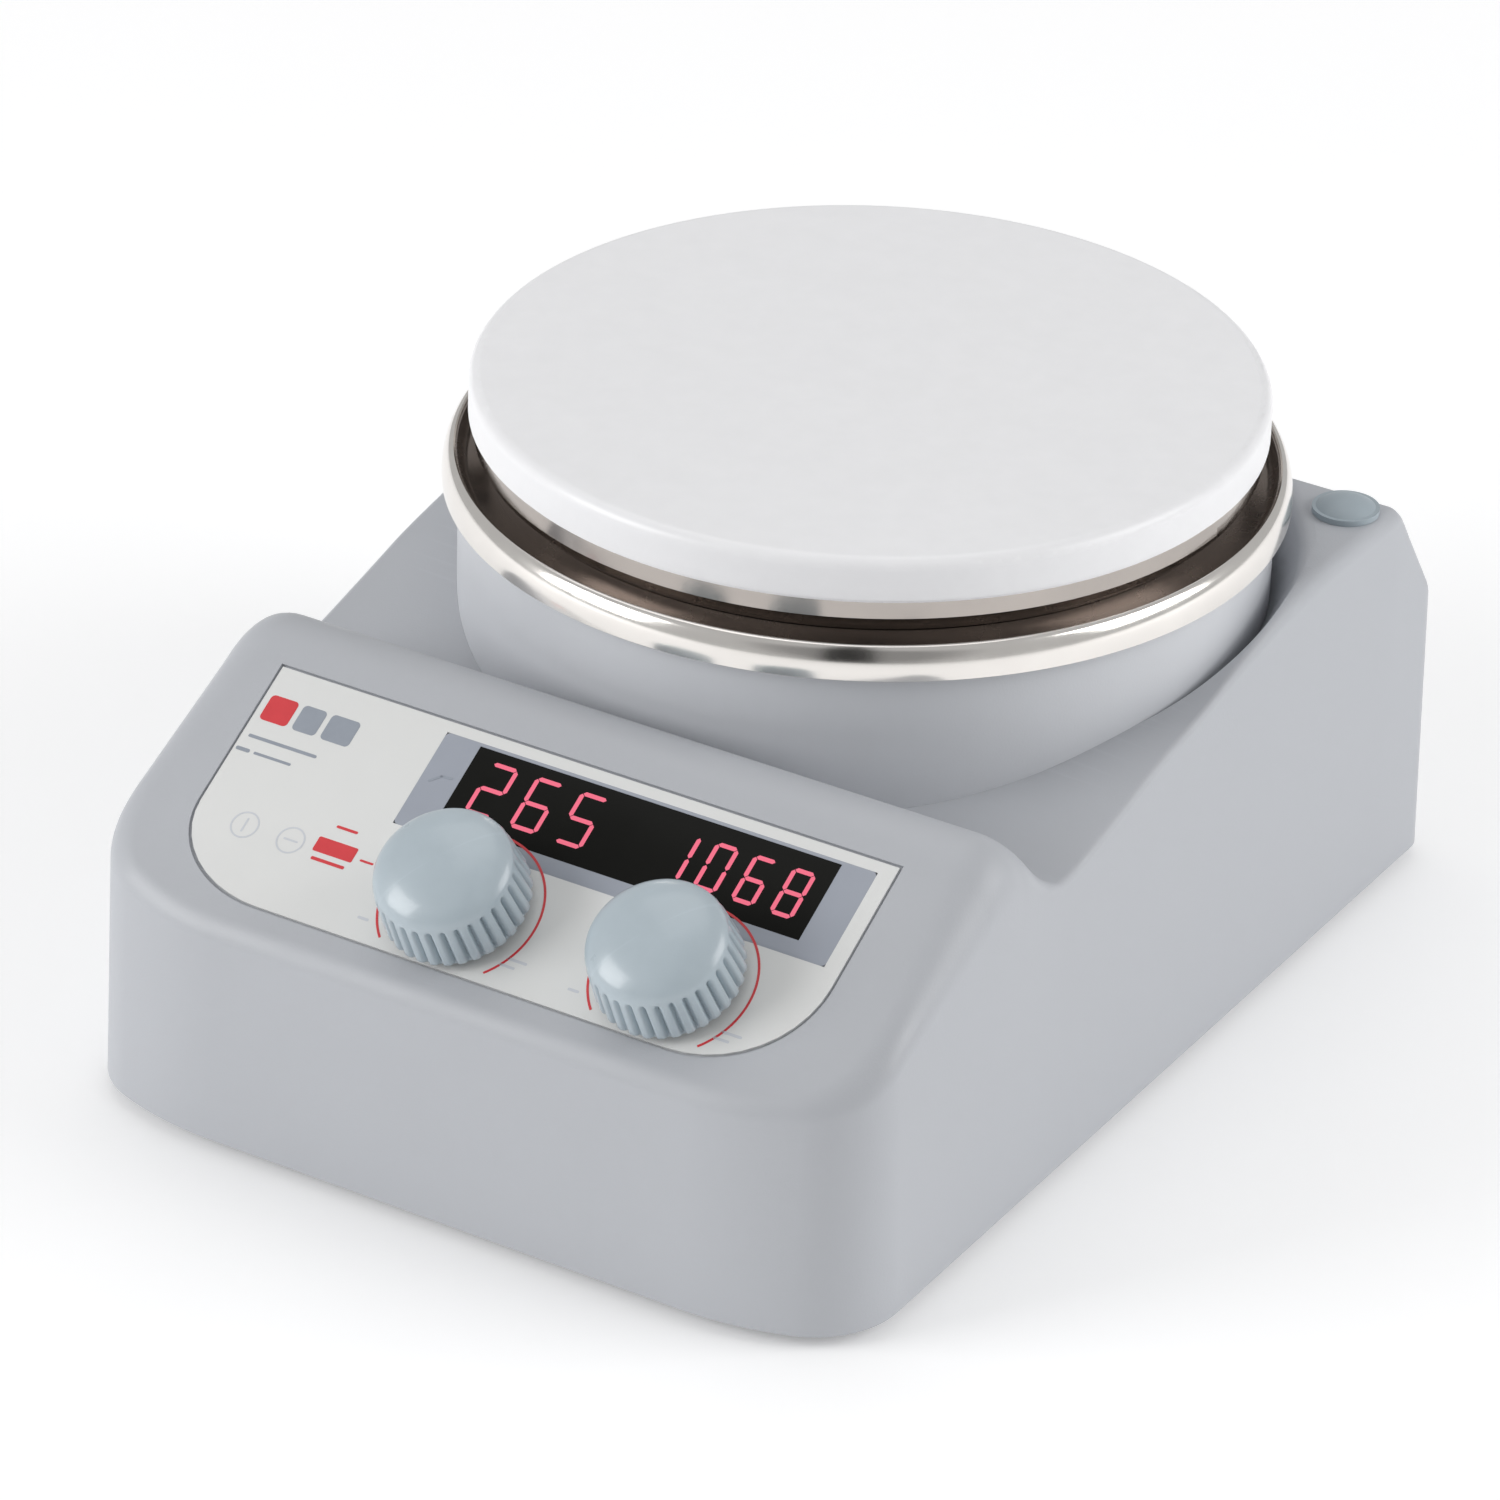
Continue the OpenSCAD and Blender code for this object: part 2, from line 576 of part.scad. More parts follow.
module power_rocker() {
  color([0.12, 0.12, 0.13]) translate([-hw + 9, switch_p[0], switch_p[1]]) rotate([0, 0, rocker_tilt])
    difference() {
    union() {
      translate([-4.6, -8.2, -3.9]) cube([6, 16.4, 7.8]);
      translate([0, 0, -3.9]) cylinder(h = 7.8, r = 2.6);
      translate([0, 0, -4.9]) cylinder(h = 9.8, r = 1.2);
    }
    translate([-32.2, 0, -5]) cylinder(h = 10, r = 29);
  }
}

module pin_shapes(grow) {
  for (x = [-7, 7]) translate([x - 1 - grow, -25, -grow]) cube([2 + 2 * grow, 21, 4 + 2 * grow]);
  translate([-1 - grow, -25, 6 - grow]) cube([2 + 2 * grow, 22.5, 4 + 2 * grow]);
}

module inlet_shell() {
  color([0.09, 0.09, 0.10]) translate([inlet_x, yr, inlet_z]) difference() {
    union() {
      translate([-16, -1, -18.5]) cube([32, 2, 37]);
      translate([-13.6, -24, -16.2]) cube([27.2, 24.1, 32.4]);
    }
    // Socket for the mains connector
    translate([0, 2, 5]) rotate([90, 0, 0]) linear_extrude(height = 19)
      polygon([[-12, -8], [12, -8], [12, 4], [8, 8], [-8, 8], [-12, 4]]);
    // Slot for the fuse drawer
    translate([-10.2, -20.2, -14.8]) cube([20.4, 30, 8.6]);
    pin_shapes(0.02);
  }
}

module inlet_pins() {
  color([0.80, 0.78, 0.70]) translate([inlet_x, yr, inlet_z]) pin_shapes(0);
}

module fuse_drawer() {
  color([0.13, 0.13, 0.14]) translate([inlet_x, yr, inlet_z]) difference() {
    union() {
      translate([-10, -19.8, -14.6]) cube([20, 20.6, 8.2]);
    }
    translate([-8.6, -18.6, -12.4]) cube([17.2, 13.6, 10]);
    translate([-4, -0.4, -12]) cube([8, 2, 3]);
  }
}

module fuse() {
  color([0.85, 0.86, 0.86]) translate([inlet_x, yr - 11.8, inlet_z - 9.7]) rotate([0, 90, 0]) {
    translate([0, 0, -8.4]) cylinder(h = 16.8, r = 2.5);
  }
}

module probe_socket() {
  color([0.68, 0.68, 0.70]) translate([probe_p[0], yr, probe_p[1]]) rotate([90, 0, 0]) difference() {
    union() {
      translate([0, 0, -1]) cylinder(h = 2, r = 9);
      translate([0, 0, -0.1]) cylinder(h = 16, r = 7);
    }
    translate([0, 0, -2]) cylinder(h = 12, r = 5.6);
    for (a = [45:90:315]) rotate([0, 0, a]) translate([3.1, 0, 5]) cylinder(h = 14, r = 0.61);
  }
  color([0.68, 0.68, 0.70]) translate([probe_p[0], yr - 3.6, probe_p[1]]) rotate([90, 0, 0]) difference() {
    cylinder(h = 2.4, r = 9, $fn = 6);
    translate([0, 0, -1]) cylinder(h = 5, r = 7);
  }
}

module probe_pins() {
  color([0.83, 0.70, 0.35]) translate([probe_p[0], yr, probe_p[1]]) rotate([90, 0, 0]) {
    for (a = [45:90:315]) rotate([0, 0, a]) translate([3.1, 0, 5]) cylinder(h = 13, r = 0.6);
  }
}

module rod_boss() {
  color([0.74, 0.74, 0.75]) translate([plug_p[0], plug_p[1], 0]) difference() {
    union() {
      translate([0, 0, foot_gap + 2.3]) cylinder(h = deck_h - 4.6 - foot_gap - 2.3, r = 5.4);
    }
    translate([0, 0, 30]) cylinder(h = 40, r = 4.25);
    translate([0, 0, 62.5]) cylinder(h = 10, r = 4.7);
  }
}

module hole_plug() {
  color([0.66, 0.71, 0.75]) translate([plug_p[0], plug_p[1], 0]) rotate_extrude() difference() {
    union() {
      polygon([[0, 63], [3.9, 63], [4.4, 64], [4.4, deck_h + 0.05], [plug_r, deck_h + 0.05],
        [plug_r, deck_h + 1.1], [0, deck_h + 1.1]]);
      intersection() {
        translate([0, deck_h + 2.9 - 8.2]) circle(r = 8.2);
        translate([0, deck_h + 1]) square([plug_r - 0.5, 4]);
      }
    }
    polygon([[-1, 60], [3, 60], [3, 70], [-1, 70]]);
  }
}

upper_housing();
base_plate();
rubber_feet();
base_screws();
collar();
collar_screws();
drip_tray();
heater_pan();
heating_element();
insulation_disc();
plate_sensor();
top_plate();
shield_plate();
plate_posts();
post_nuts();
motor_body();
motor_bracket();
bracket_posts();
bracket_screws();
motor_shaft();
magnet_carrier();
drive_magnets();
carrier_screw();
control_label();
display_surround();
display_window();
led_digits();
display_board();
board_screws();
main_board();
board_parts();
transformer();
encoder_at(knob_x[0]);  // left_encoder
encoder_at(knob_x[1]);  // right_encoder
encoder_nuts();
plunger_at(knob_x[0]);  // left_plunger
plunger_at(knob_x[1]);  // right_plunger
spindle_at(knob_x[0]);  // left_spindle
spindle_at(knob_x[1]);  // right_spindle
knob_at(knob_x[0]);  // left_knob
knob_at(knob_x[1]);  // right_knob
switch_body();
power_rocker();
inlet_shell();
inlet_pins();
fuse_drawer();
fuse();
probe_socket();
probe_pins();
rod_boss();
hole_plug();
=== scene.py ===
# Looks for the hotplate magnetic stirrer: high-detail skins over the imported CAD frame.
import math

import bmesh
import bpy
from mathutils import Matrix, Vector


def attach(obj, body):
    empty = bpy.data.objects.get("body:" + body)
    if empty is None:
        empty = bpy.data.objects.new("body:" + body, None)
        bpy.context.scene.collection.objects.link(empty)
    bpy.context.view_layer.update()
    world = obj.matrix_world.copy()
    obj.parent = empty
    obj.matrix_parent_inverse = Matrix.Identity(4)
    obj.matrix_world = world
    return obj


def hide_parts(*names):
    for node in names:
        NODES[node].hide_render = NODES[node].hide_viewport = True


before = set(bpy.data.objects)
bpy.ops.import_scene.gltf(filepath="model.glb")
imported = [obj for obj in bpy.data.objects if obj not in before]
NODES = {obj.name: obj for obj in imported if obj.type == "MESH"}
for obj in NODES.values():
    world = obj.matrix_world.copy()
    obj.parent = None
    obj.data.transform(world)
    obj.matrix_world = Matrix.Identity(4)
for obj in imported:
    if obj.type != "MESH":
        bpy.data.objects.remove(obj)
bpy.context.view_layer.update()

MM = 0.001
# Brings a shape made in mm to metres and leaves it where it is
ZERO = Matrix.Scale(MM, 4)

# ---------------------------------------------------------------- sizes, as in the CAD source, in mm
HALF_W = 75.0
DEPTH = 203.0
Y_FRONT = -102.0
Y_REAR = Y_FRONT + DEPTH
FOOT_GAP = 2.5
FRONT_H = 41.5
ANGLE = math.radians(30.4)
SLOPE = math.tan(ANGLE)
RIDGE_H = 70.3
VALLEY_H = 56.8
DECK_H = 74.3
DIP_Z = DECK_H - 8.7
DIP_RING_R = 75.0
WALL = 2.5
DRAFT = 0.02
# Height over which the walls lean in before the edge rounding starts
DRAFT_H = 50.0
PLATE_Y = 28.1
TRAY_R = 71.9
COLLAR_R = TRAY_R - 2.8
KNOB_X = (-7.2, 32.9)
KNOB_S = 19.3
KNOB_R = 12.7
KNOB_H = 14.5
SHAFT_HOLE_R = 3.6
PLUG = (66.2, 77.0)
# On the panel, across and up its slope: the label from left to right and bottom to top, then two corners each
LABEL = (-59.8, 58.2, 7.5, 50.0)
SURROUND = (-26.2, 29.4, 55.3, 48.0)
WINDOW = (-19.4, 32.4, 49.0, 47.4)
# Middles on the rear wall (across, height) and on the left wall (towards the back, height)
INLET = (-34.0, 28.0)
PROBE = (28.0, 32.0)
SWITCH = (-12.0, 27.0)


# ---------------------------------------------------------------- small helpers
def panel(x, s, lift=0.0):
    """A point on the sloping panel, in mm: across, up the slope, out of the surface."""
    return (
        x,
        Y_FRONT + s * math.cos(ANGLE) - lift * math.sin(ANGLE),
        FRONT_H + s * math.sin(ANGLE) + lift * math.cos(ANGLE),
    )


def panel_matrix(x, s, lift=0.0):
    """Places a shape made in mm with Z up so that it stands on the panel."""
    turn = Matrix.Rotation(ANGLE, 4, "X")
    return Matrix.Translation(Vector(panel(x, s, lift)) * MM) @ turn @ Matrix.Scale(MM, 4)


def scaled(x=0.0, y=0.0, z=0.0):
    """Places a shape made in mm, upright."""
    return Matrix.Translation((x * MM, y * MM, z * MM)) @ Matrix.Scale(MM, 4)


def new_object(name, bm, matrix=None, smooth_angle=35.0):
    """A mesh object from a bmesh, with edges sharper than the angle left sharp."""
    if matrix is not None:
        bmesh.ops.transform(bm, matrix=matrix, verts=bm.verts)
    bmesh.ops.recalc_face_normals(bm, faces=bm.faces)
    mesh = bpy.data.meshes.new(name)
    bm.to_mesh(mesh)
    bm.free()
    obj = bpy.data.objects.new(name, mesh)
    bpy.context.scene.collection.objects.link(obj)
    shade(mesh, smooth_angle)
    return obj


def shade(mesh, angle):
    """Smooth shading that keeps edges sharper than the angle."""
    bm = bmesh.new()
    bm.from_mesh(mesh)
    limit = math.radians(angle)
    for edge in bm.edges:
        edge.smooth = len(edge.link_faces) == 2 and edge.calc_face_angle(0.0) < limit
    for face in bm.faces:
        face.smooth = True
    bm.to_mesh(mesh)
    bm.free()


def apply_modifiers(obj):
    """Turns the object's modifiers into plain mesh."""
    graph = bpy.context.evaluated_depsgraph_get()
    mesh = bpy.data.meshes.new_from_object(obj.evaluated_get(graph))
    obj.modifiers.clear()
    old = obj.data
    obj.data = mesh
    bpy.data.meshes.remove(old)


def cut(obj, cutters):
    """Takes the cutters out of the object, and removes them."""
    for cutter in cutters:
        mod = obj.modifiers.new("cut", "BOOLEAN")
        mod.operation = "DIFFERENCE"
        mod.solver = "EXACT"
        mod.object = cutter
        apply_modifiers(obj)
        bpy.data.objects.remove(cutter)


def lathe(profile, steps=128):
    """A closed solid from (radius, height) points, which start and end on the axis or close on themselves."""
    bm = bmesh.new()
    rings = []
    for radius, height in profile:
        if radius < 1e-6:
            rings.append([bm.verts.new((0.0, 0.0, height))])
            continue
        ring = []
        for i in range(steps):
            angle = 2.0 * math.pi * i / steps
            ring.append(bm.verts.new((radius * math.cos(angle), radius * math.sin(angle), height)))
        rings.append(ring)
    pairs = list(zip(rings, rings[1:]))
    if len(rings[0]) > 1 and len(rings[-1]) > 1:
        pairs.append((rings[-1], rings[0]))
    for low, high in pairs:
        for i in range(steps):
            j = (i + 1) % steps
            if len(low) == 1 and len(high) == 1:
                continue
            if len(low) == 1:
                bm.faces.new((low[0], high[j], high[i]))
            elif len(high) == 1:
                bm.faces.new((low[i], low[j], high[0]))
            else:
                bm.faces.new((low[i], low[j], high[j], high[i]))
    return bm


def rounded(points, radius, steps=6):
    """A closed outline with each corner rounded; a point may carry its own radius as a third value."""
    out = []
    count = len(points)
    for i, point in enumerate(points):
        own = point[2] if len(point) > 2 else radius
        here = Vector(point[:2])
        before = Vector(points[i - 1][:2]) - here
        after = Vector(points[(i + 1) % count][:2]) - here
        if own < 1e-6:
            out.append(tuple(here))
            continue
        half = before.angle(after) / 2.0
        reach = min(own / math.tan(half), before.length * 0.49, after.length * 0.49)
        real = reach * math.tan(half)
        middle = (before.normalized() + after.normalized()).normalized()
        centre = here + middle * (real / math.sin(half))
        start = here + before.normalized() * reach - centre
        end = here + after.normalized() * reach - centre
        sweep = start.angle_signed(end) * -1.0
        for k in range(steps + 1):
            angle = sweep * k / steps
            turned = Matrix.Rotation(angle, 2) @ start
            out.append(tuple(centre + turned))
    return out


def prism(outline, low, high, bevel=0.0):
    """A solid slab from an outline in the XY plane, with its rims bevelled."""
    bm = bmesh.new()
    bottom = [bm.verts.new((x, y, low)) for x, y in outline]
    face = bm.faces.new(bottom)
    made = bmesh.ops.extrude_face_region(bm, geom=[face])
    top = [v for v in made["geom"] if isinstance(v, bmesh.types.BMVert)]
    for vert in top:
        vert.co.z = high
    if bevel > 0.0:
        rims = [
            e
            for e in bm.edges
            if abs(e.verts[0].co.z - e.verts[1].co.z) < 1e-9 and abs(e.verts[0].co.z - high) < 1e-9
        ]
        bmesh.ops.bevel(bm, geom=rims, offset=bevel, segments=3, affect="EDGES", profile=0.5)
    bmesh.ops.recalc_face_normals(bm, faces=bm.faces)
    return bm


def rect(x0, y0, x1, y1, radius=0.0, steps=5):
    """Outline of a rectangle, with rounded corners if a radius is given."""
    points = [(x0, y0), (x1, y0), (x1, y1), (x0, y1)]
    if radius <= 0.0:
        return points
    return rounded(points, radius, steps)


def around(centre, half_w, half_h, radius=0.0):
    """Outline of a rectangle round a point."""
    x, y = centre
    return rect(x - half_w, y - half_h, x + half_w, y + half_h, radius)


def merge(parts):
    """One bmesh from several (bmesh, matrix) pairs."""
    total = bmesh.new()
    for part, matrix in parts:
        if matrix is not None:
            bmesh.ops.transform(part, matrix=matrix, verts=part.verts)
        mesh = bpy.data.meshes.new("part")
        part.to_mesh(mesh)
        part.free()
        total.from_mesh(mesh)
        bpy.data.meshes.remove(mesh)
    return total


# ---------------------------------------------------------------- materials
def material(
    name,
    color,
    rough=0.5,
    metal=0.0,
    vary=0.04,
    vary_scale=60.0,
    grain=0.0,
    grain_scale=1500.0,
    rough_vary=0.06,
    coat=0.0,
    coat_rough=0.1,
    specular=0.5,
    emission=None,
    emission_strength=0.0,
    stretch=(1.0, 1.0, 1.0),
    wear=0.0,
):
    """A finish with slow colour change, fine grain in the bump, and uneven roughness."""
    mat = bpy.data.materials.new(name)
    mat.use_nodes = True
    tree = mat.node_tree
    links = tree.links
    shader = tree.nodes["Principled BSDF"]
    shader.inputs["Metallic"].default_value = metal
    shader.inputs["Coat Weight"].default_value = coat
    shader.inputs["Coat Roughness"].default_value = coat_rough
    shader.inputs["Specular IOR Level"].default_value = specular
    coords = tree.nodes.new("ShaderNodeTexCoord")
    mapping = tree.nodes.new("ShaderNodeMapping")
    mapping.inputs["Scale"].default_value = stretch
    links.new(coords.outputs["Object"], mapping.inputs["Vector"])

    slow = tree.nodes.new("ShaderNodeTexNoise")
    slow.inputs["Scale"].default_value = vary_scale
    slow.inputs["Detail"].default_value = 5.0
    slow.inputs["Roughness"].default_value = 0.6
    links.new(mapping.outputs["Vector"], slow.inputs["Vector"])
    ramp = tree.nodes.new("ShaderNodeValToRGB")
    ramp.color_ramp.elements[0].position = 0.3
    ramp.color_ramp.elements[1].position = 0.7
    dark = [max(0.0, c * (1.0 - vary)) for c in color[:3]]
    light = [min(1.0, c * (1.0 + vary)) for c in color[:3]]
    ramp.color_ramp.elements[0].color = (*dark, 1.0)
    ramp.color_ramp.elements[1].color = (*light, 1.0)
    links.new(slow.outputs["Fac"], ramp.inputs["Fac"])
    out_color = ramp.outputs["Color"]

    if wear > 0.0:
        edges = tree.nodes.new("ShaderNodeNewGeometry")
        edge_map = tree.nodes.new("ShaderNodeMapRange")
        edge_map.inputs["From Min"].default_value = 0.52
        edge_map.inputs["From Max"].default_value = 0.62
        edge_map.inputs["To Max"].default_value = wear
        links.new(edges.outputs["Pointiness"], edge_map.inputs["Value"])
        mix = tree.nodes.new("ShaderNodeMixRGB")
        mix.inputs["Color2"].default_value = (*[min(1.0, c * 1.25 + 0.03) for c in color[:3]], 1.0)
        links.new(edge_map.outputs["Result"], mix.inputs["Fac"])
        links.new(out_color, mix.inputs["Color1"])
        out_color = mix.outputs["Color"]
    links.new(out_color, shader.inputs["Base Color"])

    fine = tree.nodes.new("ShaderNodeTexNoise")
    fine.inputs["Scale"].default_value = grain_scale
    fine.inputs["Detail"].default_value = 3.0
    links.new(mapping.outputs["Vector"], fine.inputs["Vector"])
    spread = tree.nodes.new("ShaderNodeMapRange")
    spread.inputs["From Min"].default_value = 0.3
    spread.inputs["From Max"].default_value = 0.7
    spread.inputs["To Min"].default_value = max(0.02, rough - rough_vary)
    spread.inputs["To Max"].default_value = min(1.0, rough + rough_vary)
    links.new(slow.outputs["Fac"], spread.inputs["Value"])
    links.new(spread.outputs["Result"], shader.inputs["Roughness"])
    if grain > 0.0:
        bump = tree.nodes.new("ShaderNodeBump")
        bump.inputs["Strength"].default_value = grain
        bump.inputs["Distance"].default_value = 0.0001
        links.new(fine.outputs["Fac"], bump.inputs["Height"])
        links.new(bump.outputs["Normal"], shader.inputs["Normal"])
    if emission is not None:
        shader.inputs["Emission Color"].default_value = (*emission, 1.0)
        shader.inputs["Emission Strength"].default_value = emission_strength
    return mat


M_HOUSING = material("powder_coat", (0.465, 0.48, 0.51), 0.42, vary=0.012, vary_scale=40, grain=0.25,
    grain_scale=2600, wear=0.15)
# A lighter copy of the housing grey: painted light on the collar, which sits in the shade of the tray and the
# ridge
M_COLLAR_PAINTED_LIGHT = material("collar_coat_painted_light", (0.60, 0.615, 0.645), 0.40, vary=0.02, vary_scale=40, grain=0.2,
    grain_scale=2600)
M_CERAMIC = material("ceramic_glaze", (0.87, 0.87, 0.885), 0.38, vary=0.012, vary_scale=220, grain=0.12,
    grain_scale=1800, coat=0.25, coat_rough=0.25)
M_POLISHED = material("polished_steel", (0.84, 0.81, 0.775), 0.15, metal=1.0, vary=0.03, vary_scale=90,
    grain=0.03, grain_scale=900, rough_vary=0.03)
# Dark brown steel in the channel: painted shade and a painted dark brown reflection in the groove between the
# plate and the tray
M_CHANNEL_PAINTED_SHADE = material("channel_painted_shade_and_reflection", (0.30, 0.26, 0.235), 0.26, metal=0.9, vary=0.12, vary_scale=70,
    grain=0.1, grain_scale=900)
# Darkened steel for the heater pan: a painted dark reflection and painted shade under the plate
M_PAN_PAINTED_REFLECTION = material("pan_steel_painted_reflection", (0.47, 0.43, 0.40), 0.13, metal=1.0, vary=0.06, vary_scale=60, grain=0.04,
    grain_scale=900, rough_vary=0.04)
M_STEEL = material("plated_steel", (0.62, 0.62, 0.63), 0.30, metal=1.0, vary=0.06, vary_scale=300,
    grain=0.15, grain_scale=1600, rough_vary=0.08)
M_SHEET = material("sheet_metal", (0.60, 0.61, 0.62), 0.38, metal=1.0, vary=0.05, vary_scale=120, grain=0.2,
    grain_scale=900, stretch=(1, 8, 1))
M_BRASS = material("brass", (0.72, 0.52, 0.25), 0.28, metal=1.0, vary=0.06, vary_scale=300, grain=0.15)
M_KNOB = material("knob_plastic", (0.42, 0.49, 0.535), 0.33, vary=0.025, vary_scale=150, grain=0.16,
    grain_scale=3800, wear=0.12, coat=0.5, coat_rough=0.14)
M_PLUG = material("plug_rubber", (0.36, 0.42, 0.46), 0.45, vary=0.03, vary_scale=150, grain=0.25,
    grain_scale=3000)
M_LABEL = material("label_film", (0.74, 0.745, 0.735), 0.40, vary=0.008, vary_scale=80, grain=0.06,
    grain_scale=5200)
M_SURROUND = material("surround_print", (0.34, 0.365, 0.42), 0.34, vary=0.02, vary_scale=100, grain=0.06,
    grain_scale=5200)
M_WINDOW = material("smoked_window", (0.010, 0.010, 0.009), 0.22, vary=0.1, vary_scale=60, grain=0.02,
    rough_vary=0.02, specular=0.06)
M_DIGIT = material("lit_segment", (0.30, 0.04, 0.07), 0.5, vary=0.02, emission=(0.78, 0.14, 0.22),
    emission_strength=0.82)
M_RED = material("red_print", (0.66, 0.045, 0.055), 0.4, vary=0.03, vary_scale=400, grain=0.05)
M_GREY = material("grey_print", (0.30, 0.33, 0.38), 0.4, vary=0.03, vary_scale=400, grain=0.05)
M_PALE = material("pale_print", (0.60, 0.62, 0.66), 0.4, vary=0.02, vary_scale=400, grain=0.05)
M_BLACK = material("black_plastic", (0.018, 0.018, 0.020), 0.38, vary=0.12, vary_scale=120, grain=0.3,
    grain_scale=3000, wear=0.25)
M_UNDER = material("underside_coat", (0.075, 0.078, 0.085), 0.5, vary=0.05, vary_scale=60, grain=0.3,
    grain_scale=2200)
M_RUBBER = material("foot_rubber", (0.016, 0.016, 0.017), 0.72, vary=0.1, vary_scale=200, grain=0.4,
    grain_scale=2400)
M_MOTOR = material("motor_coat", (0.14, 0.145, 0.155), 0.4, metal=0.4, vary=0.05, grain=0.2)
M_MAGNET = material("magnet", (0.07, 0.07, 0.075), 0.35, metal=0.8, vary=0.08, grain=0.3)
M_MICA = material("mica", (0.32, 0.22, 0.13), 0.55, vary=0.12, vary_scale=260, grain=0.3, grain_scale=900)
M_FIBRE = material("fibre_board", (0.62, 0.60, 0.53), 0.85, vary=0.06, vary_scale=300, grain=0.6,
    grain_scale=1400)
M_BOARD = material("circuit_board", (0.02, 0.11, 0.045), 0.35, vary=0.15, vary_scale=250, grain=0.1)
M_PARTS = material("board_parts_plastic", (0.03, 0.032, 0.038), 0.45, vary=0.2, vary_scale=200, grain=0.2)
M_TRANSFORMER = material("transformer_coat", (0.10, 0.09, 0.075), 0.5, vary=0.08, vary_scale=200, grain=0.4,
    stretch=(1, 1, 12))
M_ACETAL = material("acetal", (0.68, 0.68, 0.64), 0.42, vary=0.02, grain=0.1)
M_FUSE = material("fuse_glass", (0.70, 0.72, 0.72), 0.08, vary=0.05, coat=0.6)

FINISH = {
    # The collar's finish carries painted light
    "upper_housing": M_HOUSING, "collar": M_COLLAR_PAINTED_LIGHT, "base_plate": M_UNDER, "rubber_feet": M_RUBBER,
    # The heater pan's darkened steel is painted reflection and shade
    "base_screws": M_STEEL, "collar_screws": M_STEEL, "drip_tray": M_POLISHED, "heater_pan": M_PAN_PAINTED_REFLECTION,
    "heating_element": M_MICA, "insulation_disc": M_FIBRE, "plate_sensor": M_STEEL, "top_plate": M_CERAMIC,
    "shield_plate": M_SHEET, "plate_posts": M_STEEL, "post_nuts": M_STEEL, "motor_body": M_MOTOR,
    "motor_bracket": M_SHEET, "bracket_posts": M_STEEL, "bracket_screws": M_STEEL, "motor_shaft": M_STEEL,
    "magnet_carrier": M_SHEET, "drive_magnets": M_MAGNET, "carrier_screw": M_STEEL, "control_label": M_LABEL,
    "display_surround": M_SURROUND, "display_window": M_WINDOW, "led_digits": M_DIGIT, "display_board": M_BOARD,
    "board_screws": M_STEEL, "main_board": M_BOARD, "board_parts": M_PARTS, "transformer": M_TRANSFORMER,
    "left_encoder": M_PARTS, "right_encoder": M_PARTS, "encoder_nuts": M_STEEL, "left_plunger": M_ACETAL,
    "right_plunger": M_ACETAL, "left_spindle": M_BRASS, "right_spindle": M_BRASS, "left_knob": M_KNOB,
    "right_knob": M_KNOB, "switch_body": M_BLACK, "power_rocker": M_BLACK, "inlet_shell": M_BLACK,
    "inlet_pins": M_STEEL, "fuse_drawer": M_BLACK, "fuse": M_FUSE, "probe_socket": M_STEEL,
    "probe_pins": M_BRASS, "rod_boss": M_SHEET, "hole_plug": M_PLUG,
}


def paint(obj, mat):
    """Gives the object one finish."""
    obj.data.materials.clear()
    obj.data.materials.append(mat)


for node_name, node_object in NODES.items():
    finish = FINISH[node_name]
    if len(node_object.material_slots) == 0:
        node_object.data.materials.append(finish)
    for used in node_object.material_slots:
        used.material = finish


# ---------------------------------------------------------------- housing skin
# Side profile of the top: distance from the front wall, height, slope
KNOTS = [
    (0.0, FRONT_H, SLOPE),
    (46.0, FRONT_H + 46.0 * SLOPE, SLOPE),
    (52.5, RIDGE_H, 0.0),
    (57.5, RIDGE_H - 2.2, -1.0),
    (63.0, VALLEY_H + 3.8, -1.2),
    (69.5, VALLEY_H, 0.0),
    (78.0, VALLEY_H + 1.4, 0.25),
    (96.0, VALLEY_H + 6.0, 0.27),
    (117.0, DECK_H - 7.3, 0.22),
    (131.0, DECK_H - 4.0, 0.22),
    (147.0, DECK_H - 0.9, 0.1),
    (184.6, DECK_H, 0.0),
    (187.0, DECK_H - 2.5, -1.4),
    (189.0, DECK_H - 5.7, -1.52),
    (DEPTH, DECK_H - 5.7 - 1.52 * (DEPTH - 189.0), -1.52),
]


def top_z(d):
    """Height of the top of the housing at a distance from the front."""
    k = 0
    while k < len(KNOTS) - 2 and d >= KNOTS[k + 1][0]:
        k += 1
    d0, z0, m0 = KNOTS[k]
    d1, z1, m1 = KNOTS[k + 1]
    h = d1 - d0
    t = (d - d0) / h
    return (
        (2 * t**3 - 3 * t**2 + 1) * z0
        + (t**3 - 2 * t**2 + t) * h * m0
        + (3 * t**2 - 2 * t**3) * z1
        + (t**3 - t**2) * h * m1
    )


def edge_r(d):
    """Rounding of the upper edge along the sides."""
    if d < 45:
        return 5.5 + max(0.0, d - 20) * 0.16
    if d < 56:
        return 9.5
    if d < 66:
        return 9.5 - (d - 56) * 0.83
    if d < 120:
        return 1.2
    if d > 185:
        return max(1.5, 2.7 - (d - 185) * 0.1)
    return min(2.7, 1.2 + (d - 120) * 0.055)


def corner_edge_r(a):
    """Rounding of the upper edge along the front corners, where the outline has turned by an angle."""
    return 2.6 + 2.9 * math.sin(a) ** 2


